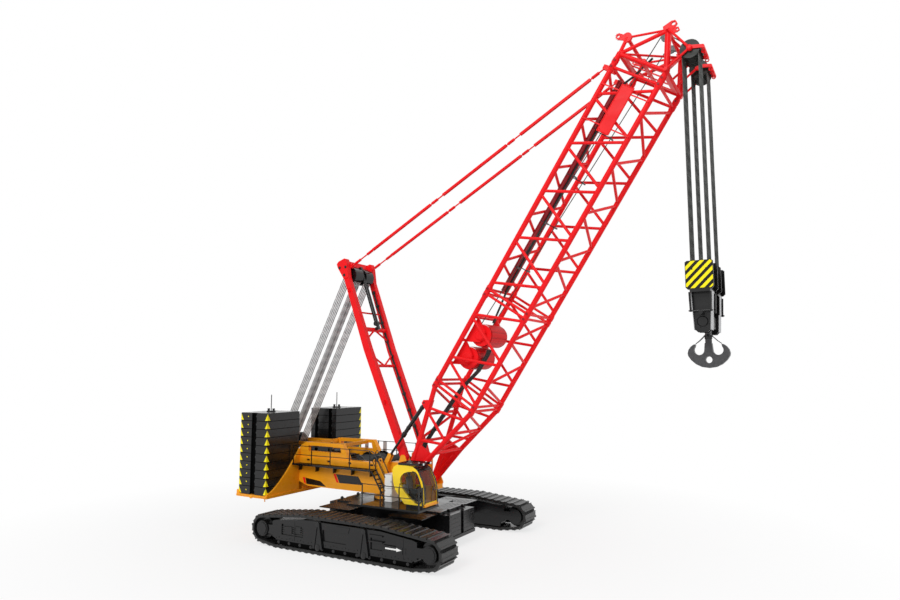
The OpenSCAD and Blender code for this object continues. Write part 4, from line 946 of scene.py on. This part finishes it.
SEAT_Y, SEAT_Z = -2.45, CAB_Z0 + 0.0703
cushion = pad("seat_cushion", (2.545, SEAT_Y, SEAT_Z + 0.42), (0.62, 0.58, 0.15))
pad("seat_back", (2.255, SEAT_Y, SEAT_Z + 0.86), (0.74, 0.52, 0.14), lean=math.radians(-98.3))
pad("seat_head_rest", (2.20, SEAT_Y, SEAT_Z + 1.33), (0.19, 0.25, 0.11), lean=math.radians(-92))
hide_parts("cab_seat")

# %% [markdown]
# ## Seat base, consoles and lining
# The seat stands on a turned post between two consoles with control levers. White sheet lines the
# floor and the rear wall.

# %% Seat base and lining
bm = bmesh.new()
turned(bm, (2.61, SEAT_Y, SEAT_Z), (0, 0, 1),
       [(0.20, 0), (0.20, 0.03), (0.12, 0.06), (0.11, 0.2), (0.17, 0.3), (0.17, 0.345)])
for y in (-2.90, -2.13):
    plate(bm, [(2.5, SEAT_Z), (2.92, SEAT_Z), (2.92, SEAT_Z + 0.62), (2.86, SEAT_Z + 0.7),
               (2.5, SEAT_Z + 0.66)], "Y", y, y + 0.13)
    tube(bm, [(2.82, y + 0.065, SEAT_Z + 0.68), (2.84, y + 0.065, SEAT_Z + 0.82)], 0.016, sides=8)
    turned(bm, (2.84, y + 0.065, SEAT_Z + 0.8), (0.1, 0, 1),
           [(0.02, 0), (0.032, 0.03), (0.032, 0.08), (0.015, 0.11)], 12)
block(bm, (2.92, 3.0), (-2.86, -2.6), (SEAT_Z + 0.48, SEAT_Z + 0.72))
for y in (SEAT_Y - 0.07, SEAT_Y + 0.07):
    tube(bm, [(2.2, y, SEAT_Z + 1.15), (2.2, y, SEAT_Z + 1.3)], 0.012, sides=6)
piece("seat_base_and_consoles", bm, charcoal_enamel, "upperworks", bevel_mm=10)

bm = bmesh.new()
plate(bm, [(-2.99, 2.57), (-1.91, 2.57), (-1.91, 3.38), (-2.99, 3.38)], "X", 2.06, 2.075)
block(bm, (2.4, 3.46), (-2.98, -1.92), (CAB_Z0 + 0.0702, CAB_Z0 + 0.08))
piece("cab_lining", bm, white_enamel, "upperworks", bevel_mm=3)

# %% [markdown]
# ## White cabinet behind the cab
# The cabinet's doors are sheet steel, so each face of the dark box gets two panels with a gap, hinges
# and a handle.

# %% Cabinet doors
bm, fittings = bmesh.new(), bmesh.new()
for low, high in ((2.34, 3.03), (3.045, 3.735)):
    block(bm, (0.645, 1.095), (-2.432, -2.42), (low, high))
    block(bm, (1.10, 1.112), (-2.415, -1.81), (low, high))
    block(bm, (0.628, 0.64), (-2.415, -1.81), (low, high))
    for z in (low + 0.12, high - 0.12):
        tube(fittings, [(0.665, -2.436, z - 0.04), (0.665, -2.436, z + 0.04)], 0.012, sides=6)
    tube(fittings, [(1.06, -2.445, (low + high) / 2 - 0.06), (1.06, -2.445, (low + high) / 2 + 0.06)], 0.01,
         sides=6)
block(bm, (0.635, 1.105), (-2.425, -1.805), (3.75, 3.762))
piece("cabinet_doors", bm, white_enamel, "upperworks", bevel_mm=4)
piece("cabinet_fittings", fittings, black_enamel, "upperworks")

# %% [markdown]
# ## Joints of the boom
# The boom's sections are held by pins through forks at the ends of the chords. Each joint gets a collar
# along the chord and a pin across it, both turned from one stepped profile.

# %% Chord joints
CHORD_Y, CHORD_LOW, CHORD_HIGH = 1.52, -1.215, 1.36
bm, pins = bmesh.new(), bmesh.new()
for s in (5.66, 11.22, 23.89):
    for side in (-1, 1):
        for n in (CHORD_LOW, CHORD_HIGH):
            at = on_boom(s, side * CHORD_Y, n)
            turned(bm, at, BOOM_ALONG, [(0.137, -0.34), (0.165, -0.28), (0.165, -0.05), (0.15, -0.02),
                                        (0.15, 0.02),
                                        (0.165, 0.05), (0.165, 0.28), (0.137, 0.34)], 20)
            for ds in (-0.16, 0.16):
                centre = on_boom(s + ds, side * CHORD_Y, n)
                turned(pins, centre, (0, 1, 0),
                       [(0.06, -0.2), (0.06, -0.19), (0.05, -0.18), (0.05, 0.18), (0.06, 0.19),
                                                 (0.06, 0.2)], 14)
piece("chord_collars", bm, red_enamel, "boom", bevel_mm=3)
piece("chord_pins", pins, deep_red_enamel, "boom")

# %% [markdown]
# ## Walkway of the boom
# A dark red walkway lies under the upper face. Its grating is drawn with bars every 200 mm, which is
# coarser than the real one, so that it shows.

# %% Walkway grating
WALK_N = CHORD_HIGH - 0.14
bm = bmesh.new()
for k in range(60):
    s = 11.55 + 0.2 * k
    tube(bm, [on_boom(s, -0.36, WALK_N + 0.01), on_boom(s, 0.36, WALK_N + 0.01)], 0.016, sides=4)
for y in (-0.37, 0.37):
    tube(bm, [on_boom(11.5, y, WALK_N + 0.02), on_boom(23.58, y, WALK_N + 0.02)], 0.03, sides=4)
piece("boom_walkway_grating", bm, deep_red_enamel, "boom")

# %% [markdown]
# ## Hoses of the boom
# Six black hoses climb from the foot to the winches, and three run on under the walkway to the head. They
# are clamped to bars, so they keep their line when the boom luffs and need no slack.

# %% Boom hoses
bm = bmesh.new()
for y in (-0.06, 0.0, 0.06):
    tube(bm, [on_boom(s, y, n) for s, n in ((9.7, 0.9), (10.6, 1.0), (11.6, 1.135), (17.0, 1.135),
                                            (23.5, 1.135),
                                            (24.1, 0.8), (24.6, 0.62), (25.2, 0.4))], 0.03, sides=8)
for k in range(6):
    y = -0.72 + 0.08 * k
    tube(bm, [on_boom(s, y, n) for s, n in ((0.9, 0.45), (2.1, 0.66), (3.8, 0.58), (5.05, 0.47),
                                            (5.8, 0.40), (6.6, 0.20),
                                            (7.2, 0.04), (8.2, 0.03), (8.5, 0.08))], 0.036, sides=8)
for s, n in ((3.0, 0.55), (4.6, 0.43), (6.0, 0.30)):
    tube(bm, [on_boom(s, -0.8, n), on_boom(s, -0.24, n)], 0.03, sides=4)
piece("boom_hoses", bm, black_rubber, "boom")

# %% [markdown]
# ## Hoist ropes along the boom
# Two ropes run from the winches over rollers to guide sheaves in the head, and down to the main sheaves.
# They stay with the boom, so they are plain tubes with the rope's finish.

# %% Hoist ropes along the boom
ROPE_Y, ROPE_SLOPE = 0.675, -0.0534


def rope_n(s):
    return 1.18 + (s - 9.0) * ROPE_SLOPE


bm, rollers = bmesh.new(), bmesh.new()
for side in (-1, 1):
    y = side * ROPE_Y
    tube(bm, [on_boom(s, y, rope_n(s)) for s in (9.0, 12.0, 15.0, 18.0, 21.0, 24.0, 26.05)]
         + [on_boom(26.19, y, 0.22), on_boom(26.27, y, 0.1), on_boom(26.25, y, -0.02),
            on_boom(25.99, y, -1.65)],
         0.024, sides=8)
    turned(rollers, on_boom(26.08, y, 0.06), (0, 1, 0),
           [(0.2, -0.05), (0.2, -0.035), (0.165, -0.01), (0.165, 0.01),
                                                        (0.2, 0.035), (0.2, 0.05)])
    for dy in (-0.075, 0.06):
        plate(rollers, outline(on_boom, [(26.0, 0.12), (26.16, 0.12), (26.2, -0.24), (26.08, -0.24)]), "Y",
              y + dy, y + dy + 0.015)
    for s in (13.0, 15.7, 18.4, 21.0):
        n = rope_n(s) - HOIST_ROPE_R - 0.045
        tube(rollers, [on_boom(s, side * 0.40, n), on_boom(s, side * 0.86, n)], 0.045)
        tube(rollers, [on_boom(s, side * 0.39, n - 0.03), on_boom(s, side * 0.37, WALK_N)], 0.03, sides=4)
piece("boom_hoist_lines", bm, greased_rope, "boom")
piece("boom_rope_rollers", rollers, dark_iron, "boom", bevel_mm=2)

# %% [markdown]
# ## Head and sign
# Red caps close the axle of the head's sheaves, small shackle rings hang below the guard rollers,
# and a raised rim with bolts frames the bare sign.

# %% Head caps, rings, sign rim
AXLE = (25.642, -1.698)
bm = bmesh.new()
for side in (-1, 1):
    cap = on_boom(AXLE[0], side * 1.825, AXLE[1])
    turned(bm, cap, (0, side, 0), [(0.125, 0), (0.125, 0.03), (0.1, 0.045), (0.04, 0.05)])
    bolts(bm, cap + Vector((0, side * 0.03, 0)), (0, side, 0), 0.085, 8, 0.014, 0.02)
    for y in (0.5, 0.96, 1.53):
        ring(bm, on_boom(25.79, side * y, -2.27), (0, 1, 0), 0.075, 0.026)
    for s, n in ((26.49, -0.34), (25.14, 1.85), (25.24, 1.41)):
        for out in (-1, 1):
            bolts(bm, on_boom(s, side * CHORD_Y + out * 0.06, n), (0, out, 0), 0.14, 8, 0.016, 0.02)
sign_y = -(CHORD_Y + 0.135 + 0.0003 + 0.09)
SIGN = [(20.74, -0.30), (23.12, -0.30), (23.12, 0.33), (20.74, 0.33)]
for a, b in zip(SIGN, SIGN[1:] + SIGN[:1]):
    tube(bm, [on_boom(a[0], sign_y, a[1]), on_boom(b[0], sign_y, b[1])], 0.022, sides=6)
for s in (20.85, 21.6, 22.3, 23.0):
    for n in (-0.22, 0.25):
        turned(bm, on_boom(s, sign_y, n), (0, -1, 0), [(0.025, 0), (0.025, 0.012), (0.015, 0.018)], 10)
piece("boom_head_caps", bm, red_enamel, "boom")

# %% [markdown]
# ## Mast
# Black covers arch over the two sheave packs on the side away from the ropes, and dark plugs close the
# head's pin holes. A cover is one outline of two arcs, pulled across the pack.

# %% Mast covers
bm = bmesh.new()
COVER = [math.radians(a) for a in range(-150, 61, 15)]
arch = [(MAST_SHEAVE[0] + r * math.cos(a), MAST_SHEAVE[1] + r * math.sin(a))
        for r, turn in ((0.512, COVER), (0.496, COVER[::-1])) for a in turn]
for side in (-1, 1):
    plate(bm, outline(on_mast, arch), "Y", side * 0.135, side * 0.86)
    for y in (0.135, 0.86):
        plate(bm, outline(on_mast, arch[:len(COVER)] + [MAST_SHEAVE]), "Y", side * y, side * (y + 0.012))
    for s, n in ((11.62, 0.20), (11.2, 0.45), (11.75, 0.62)):
        turned(bm, on_mast(s, side * 1.41, n), (0, side, 0), [(0.085, 0), (0.085, 0.02), (0.06, 0.03)])
piece("mast_sheave_covers", bm, black_enamel, "mast", bevel_mm=4)

# %% [markdown]
# ## Hoses and lugs of the mast
# Hoses run in clips along the insides of the legs, and lifting lugs with rings stand on their outer sides.
# The legs spread upwards, so one function gives the inner face at each height.


# %% Mast hoses and lugs
def leg_inside(s):
    return 1.07 + s * math.tan(math.radians(0.8)) - 0.155


bm = bmesh.new()
for side in (-1, 1):
    for dn in (-0.05, 0.0, 0.05):
        tube(bm, [on_mast(s, side * (leg_inside(s) - 0.03), n + dn) for s, n in
                  ((0.9, 0.05), (3.0, 0.17), (6.4, 0.36), (8.0, 0.38), (10.4, 0.38))], 0.02, sides=6)
    for s in (1.6, 2.6, 3.6, 4.6, 6.0, 7.0, 8.2, 9.3, 10.2):
        n = min(0.38, 0.03 + s * 0.052)
        plate(bm, outline(on_mast, [(s, n - 0.11), (s + 0.14, n - 0.11), (s + 0.14, n + 0.11),
                                    (s, n + 0.11)]), "Y",
              side * leg_inside(s), side * (leg_inside(s) - 0.065))
piece("mast_hoses", bm, black_rubber, "mast", bevel_mm=3)

bm = bmesh.new()
for side in (-1, 1):
    for s in (3.2, 10.2):
        y, n = side * (leg_inside(s) + 0.31), 0.15 if s < 5 else 0.38
        lug = [(s - 0.12, n - 0.04), (s + 0.12, n - 0.04), (s + 0.12, n + 0.04), (s - 0.12, n + 0.04)]
        plate(bm, outline(on_mast, lug), "Y", y, y + side * 0.1)
        ring(bm, on_mast(s, y + side * 0.13, n), (0.94, 0, 0.34), 0.06, 0.02)
    for s in (0.5, 6.5, 11.0):
        bolts(bm, on_mast(s, side * (leg_inside(s) + 0.31), 0.1 if s < 1 else 0.36), (0, side, 0), 0.1, 6,
              0.02, 0.02)
piece("mast_lugs", bm, red_enamel, "mast", bevel_mm=3)

# %% [markdown]
# ## Pendants
# Pins with round heads hold the pendants' ends, and flat straps run beside each bar, in three lengths as
# the real ones are made up.

# %% Pendant pins and straps
PENDANT_Y = 0.96
low, high = on_mast(11.65, 0, 0.085), on_boom(23.75, 0, 1.93)
bm = bmesh.new()
for side in (-1, 1):
    for at in (high, low):
        for out in (-1, 1):
            turned(bm, at + Vector((0, side * PENDANT_Y + out * 0.045, 0)), (0, out, 0),
                   [(0.075, 0), (0.075, 0.006), (0.06, 0.009)])
piece("pendant_pin_heads", bm, dark_iron, "pendants")

bm = bmesh.new()
across = Vector((low.z - high.z, 0, high.x - low.x)).normalized() * 0.07
for side in (-1, 1):
    for start, end in ((0.08, 0.36), (0.385, 0.66), (0.685, 0.955)):
        a, b = low.lerp(high, start + 0.02), low.lerp(high, end - 0.005)
        strap = [(p.x, p.z) for p in (a + across, b + across, b - across, a - across)]
        for dy in (-0.065, 0.045):
            plate(bm, strap, "Y", side * PENDANT_Y + dy, side * PENDANT_Y + dy + 0.02)
piece("pendant_straps", bm, red_enamel, "pendants", bevel_mm=3)

# %% [markdown]
# ## Backstops
# The backstops' barrels have clamp bands, a gland where the rod goes in and a pipe along one side. They
# are turned about the barrel's own line, which runs from the boom to the main frame.

# %% Backstop bands
STOP_TOP, STOP_FOOT = on_boom(4.34, 0, 1.37), Vector((0.35, 0, 4.64))
STOP_WAY = (STOP_FOOT - STOP_TOP).normalized()
bm = bmesh.new()
for side in (-1, 1):
    start = STOP_TOP + Vector((0, side * CHORD_Y, 0))
    for reach in (0.35, 1.1, 1.75):
        turned(bm, start + STOP_WAY * reach, STOP_WAY,
               [(0.107, -0.06), (0.125, -0.05), (0.125, 0.05), (0.107, 0.06)])
    turned(bm, start + STOP_WAY * 2.22, STOP_WAY,
           [(0.107, -0.12), (0.135, -0.1), (0.135, 0.08), (0.12, 0.128), (0.07, 0.13)])
    tube(bm, [start + STOP_WAY * a + Vector((0, side * -0.13, 0)) for a in (0.35, 1.0, 1.75)], 0.02,
         sides=6)
piece("backstop_bands", bm, black_enamel, "backstop_barrels", bevel_mm=2)

# %% [markdown]
# ## Tracks
# Chain links join the shoes. The loop of the links is two straight runs and two arcs round the end
# wheels, so it is laid as a line of points and divided by length into one link for each shoe.

# %% Track links
TRACK_Y, SHOE_HALF, HUB_X, HUB_Z = 4.655, 0.735, 5.25, 0.87
LINK_R, FLAT_HALF, TOP_HALF, TOP_Z, LINK_Z, SHOES = 0.62, 4.3, 2.5, 1.77, 0.12, 58


def touch(x, z, way):
    return math.atan2(z - HUB_Z, x - HUB_X) + way * math.acos(LINK_R / math.hypot(x - HUB_X, z - HUB_Z))


low_turn, high_turn = touch(FLAT_HALF, LINK_Z, 1), touch(TOP_HALF, TOP_Z, -1)
turns = [low_turn + (high_turn - low_turn) * k / 40 for k in range(41)]
arc = [(HUB_X + LINK_R * math.cos(a), HUB_Z + LINK_R * math.sin(a)) for a in turns]
front = [(FLAT_HALF, LINK_Z)] + arc + [(TOP_HALF, TOP_Z)]
loop = front + [(-x, z) for x, z in front[::-1]]
steps = [math.dist(p, q) for p, q in zip(loop, loop[1:] + loop[:1])]


def along_loop(length):
    length %= sum(steps)
    for p, q, step in zip(loop, loop[1:] + loop[:1], steps):
        if length <= step:
            return (p[0] + (q[0] - p[0]) * length / step, p[1] + (q[1] - p[1]) * length / step)
        length -= step
    return loop[0]


places = [along_loop(sum(steps) * k / SHOES) for k in range(SHOES)]
bm = bmesh.new()
for side in (-1, 1):
    for face, out in ((TRACK_Y - SHOE_HALF, -1), (TRACK_Y + SHOE_HALF, 1)):
        for (x, z), (x1, z1) in zip(places, places[1:] + places[:1]):
            across = Vector((z - z1, x1 - x)).normalized() * 0.03
            ends = [(x + (x1 - x) * f, z + (z1 - z) * f) for f in (0.1, 0.9)]
            plate(bm, [(ends[0][0] + across.x, ends[0][1] + across.y),
                       (ends[1][0] + across.x, ends[1][1] + across.y),
                       (ends[1][0] - across.x, ends[1][1] - across.y),
                       (ends[0][0] - across.x, ends[0][1] - across.y)],
                  "Y", side * face, side * (face + out * 0.008))
            turned(bm, (x, side * face, z), (0, side * out, 0),
                   [(0.04, -0.01), (0.04, 0.012), (0.03, 0.016)], 10)
piece("track_links", bm, dark_iron, "undercarriage")

# %% [markdown]
# ## Side frames of the tracks
# The side frames carry roller caps along the ground, raised supports with an eye, and hub covers with
# bolts. The pockets between the supports' legs and the row behind the rollers are painted shade in matt
# black, because deep shade there would need cuts in the solid.

# %% Roller caps, supports, hub covers
FACE_Y, SUPPORT_X, ROLLER_Z = TRACK_Y + 0.64, (-1.37, 1.53), 0.3053
bm, hoses, arrow, shade = bmesh.new(), bmesh.new(), bmesh.new(), bmesh.new()
for side in (-1, 1):
    y = side * FACE_Y
    # Painted shade: matt black strips behind the rollers and between the supports' legs.
    block(shade, (-4.35, 4.35), (y, y + side * 0.004), (0.2, 0.40))
    for x in SUPPORT_X:
        plate(shade, [(x - 0.27, 0.36), (x + 0.27, 0.36), (x + 0.08, 1.42), (x - 0.08, 1.42)], "Y",
              y + side * 0.05, y + side * 0.054)
    for k in range(12):
        x = -4.07 + k * 8.14 / 11
        turned(bm, (x, y, ROLLER_Z), (0, side, 0), [(0.085, 0), (0.085, 0.025), (0.06, 0.035)], 16)
        turned(bm, (x, y, ROLLER_Z + 0.24), (0, side, 0), [(0.03, 0), (0.03, 0.02), (0.02, 0.025)], 6)
        for dx in (-0.2, 0.2):
            turned(bm, (x + dx, y, ROLLER_Z + 0.19), (0, side, 0),
                   [(0.022, 0), (0.022, 0.018), (0.016, 0.022)], 6)
    for x in SUPPORT_X:
        for out in (-1, 1):
            plate(bm, [(x + out * 0.33, 0.3), (x + out * 0.19, 0.3), (x + out * 0.03, 1.42),
                       (x + out * 0.11, 1.46)], "Y",
                  y + side * 0.05, y + side * 0.095)
        turned(bm, (x, y + side * 0.03, 1.48), (0, side, 0),
               [(0.12, 0), (0.12, 0.06), (0.1, 0.068), (0.05, 0.068)])
        turned(bm, (x, y + side * 0.03, 0.36), (0, side, 0), [(0.16, 0), (0.16, 0.05), (0.12, 0.068)])
        bolts(bm, (x, y + side * 0.08, 0.36), (0, side, 0), 0.12, 6, 0.018, 0.016)
    for x in (-HUB_X, HUB_X):
        hub = side * (FACE_Y + 0.05)
        turned(bm, (x, hub, HUB_Z), (0, side, 0), [(0.385, 0), (0.385, 0.012), (0.36, 0.02), (0.325, 0.02)],
               40)
        bolts(bm, (x, hub, HUB_Z), (0, side, 0), 0.36, 20, 0.018, 0.03)
        bolts(bm, (x, hub + side * 0.05, HUB_Z), (0, side, 0), 0.27, 10, 0.016, 0.012)
print("side frames:", len(bm.faces), "faces so far")

# %% [markdown]
# ## Plates and hoses of the side frames
# A bolted plate carries a plain white arrow that points ahead, ribs and a valve box stand on the frame, and
# four hoses lie clamped in the rear recess. The arrow is a thin plate of film over the bolted one.

# %% Plates, arrows and hoses
for side in (-1, 1):
    y = side * FACE_Y
    for x in (-3.0, 3.79):
        block(bm, (x - 0.02, x + 0.02), (y, y + side * 0.012), (0.47, 1.4))
    plate(bm, [(2.62, 0.70), (3.95, 0.70), (3.95, 1.0), (2.62, 1.0)], "Y", y, y + side * 0.012)
    for x in (2.68, 3.89):
        for z in (0.75, 0.95):
            turned(bm, (x, y + side * 0.012, z), (0, side, 0), [(0.02, 0), (0.02, 0.015), (0.014, 0.02)], 6)
    plate(arrow, [(2.78, 0.835), (3.42, 0.835), (3.42, 0.785), (3.72, 0.87), (3.42, 0.955), (3.42, 0.905),
                  (2.78, 0.905)],
          "Y", y + side * 0.012, y + side * 0.017)
    plate(bm, [(-0.15, 1.25), (0.55, 1.25), (0.62, 1.52), (-0.2, 1.52)], "Y", y, y + side * 0.02)
    block(bm, (-3.7, -3.2), (y - side * 0.06, y - side * 0.005), (0.78, 1.12))
    block(bm, (-2.95, -2.6), (y - side * 0.06, y - side * 0.02), (0.85, 1.2))
    for k in range(4):
        z = 0.8 + 0.1 * k
        tube(hoses, [(-3.85, y - side * 0.03, z), (-3.3, y - side * 0.025, z + 0.02),
                     (-2.9, y - side * 0.03, z - 0.03),
                     (-2.45, y - side * 0.035, z)], 0.022, sides=8)
piece("track_frame_fittings", bm, charcoal_enamel, "undercarriage", bevel_mm=2)
piece("track_frame_pocket_painted_shade", shade, painted_shade_black, "undercarriage")
piece("track_frame_hoses", hoses, black_rubber, "undercarriage")
piece("direction_arrows", arrow, white_enamel, "undercarriage")

# %% [markdown]
# ## Decks and car-body weights
# The decks are tread plate: small raised bars, set crosswise in turn. The weights have lifting lugs and
# a dark gap where the two piles meet. Each bar is a plate with four corners, because bump alone would be
# lost in the exported mesh.

# %% Tread and lugs
bm = bmesh.new()
fields = [((2.45, 3.4), (-1.3, 1.3), 1.87), ((-3.4, -2.45), (-1.3, 1.3), 1.87)]
fields += [((a, a + 2.0), (b, b + 1.5), 1.80) for a in (1.3, -3.3) for b in (1.42, -2.92)]
for (x0, x1), (y0, y1), z in fields:
    for i in range(int((x1 - x0) / 0.17)):
        for j in range(int((y1 - y0) / 0.17)):
            x, y = x0 + 0.085 + 0.17 * i, y0 + 0.085 + 0.17 * j
            a, b = (0.06, 0.018) if (i + j) % 2 else (0.018, 0.06)
            plate(bm, [(x - a, y), (x, y - b), (x + a, y), (x, y + b)], "Z", z, z + 0.008)
piece("deck_tread", bm, charcoal_enamel, "undercarriage")

bm = bmesh.new()
for end in (-1, 1):
    for y in (-0.75, 0.75):
        turned(bm, (end * 3.6, y - 0.03, 1.87), (0, 1, 0), [(0.1, 0), (0.1, 0.06)], 20)
        for k in range(5):
            z = 0.64 + 0.222 * k
            turned(bm, (end * 4.0, y + math.copysign(0.45, y), z + 0.11), (end, 0, 0),
                   [(0.03, 0), (0.03, 0.02), (0.02, 0.03)], 10)
            block(bm, (end * 4.0, end * 4.012), (y - 0.6, y + 0.6), (z + 0.012, z + 0.205))
piece("car_body_weight_faces", bm, charcoal_enamel, "undercarriage", bevel_mm=6)

# %% [markdown]
# ## Studio
# A wide white floor and a white world, as in a catalogue picture. The floor turns to plain white away
# from the crane, and near it keeps the soft shadow. Mirrors and glass see the same white.

# %% Floor
floor_mesh = bpy.data.meshes.new("floor")
floor_mesh.from_pydata([(-400, -400, 0), (400, -400, 0), (400, 400, 0), (-400, 400, 0)], [], [(0, 1, 2, 3)])
floor = bpy.data.objects.new("floor", floor_mesh)
floor.location.z = -0.004
bpy.context.scene.collection.objects.link(floor)


def seen_rays(tree):
    rays = node(tree, "LightPath")
    seen = node(tree, "Math", {0: rays.outputs["Is Camera Ray"], 1: rays.outputs["Is Glossy Ray"]},
                operation="MAXIMUM")
    return node(tree, "Math", {0: seen.outputs[0], 1: rays.outputs["Is Transmission Ray"]},
                operation="MAXIMUM").outputs[0]


studio_white, tree = new_material("studio_white_floor")
spread = node(tree, "VectorMath", {0: node(tree, "NewGeometry").outputs["Position"]}, operation="LENGTH")
fade = node(tree, "MapRange", {"Value": spread.outputs["Value"], 1: 9.0, 2: 26.0, 3: 0.72, 4: 1.0})
white = node(tree, "Math", {0: fade.outputs[0], 1: seen_rays(tree)}, operation="MULTIPLY")
matt = node(tree, "BsdfDiffuse", {"Color": linear("#F2F2F2")})
glow = node(tree, "Emission", {"Color": (1, 1, 1, 1), "Strength": 1.0})
node(tree, "OutputMaterial", {"Surface": node(tree, "MixShader", {0: white.outputs[0], 1: matt.outputs[0],
                                                                  2: glow.outputs[0]}).outputs[0]})
floor_mesh.materials.append(studio_white)
print("floor:", studio_white.name)

# %% [markdown]
# ## World and lamps
# The world gives even light, and two large soft lamps a direction: a key from the camera's side and a
# weaker fill from the front. Camera and mirrors see the world as white.

# %% World and lamps
world = bpy.data.worlds.new("studio")
bpy.context.scene.world = world
world.use_nodes = True
tree = world.node_tree
tree.nodes.clear()
level = node(tree, "MapRange", {"Value": seen_rays(tree), 3: 0.5, 4: 1.0})
node(tree, "OutputWorld", {"Surface": node(tree, "Background", {"Color": (1, 1, 1, 1),
                                                                "Strength": level.outputs[0]}).outputs[0]})

for name, at, energy, size in (("key", (6, -95, 75), 62000, 45), ("fill", (85, 15, 50), 17000, 40)):
    lamp = bpy.data.objects.new(name, bpy.data.lights.new(name, "AREA"))
    lamp.data.energy, lamp.data.size = energy, size
    lamp.location = at
    lamp.rotation_mode = "QUATERNION"
    lamp.rotation_quaternion = (Vector((2, 0, 8)) - Vector(at)).to_track_quat("-Z", "Y")
    bpy.context.scene.collection.objects.link(lamp)
print("studio ready")
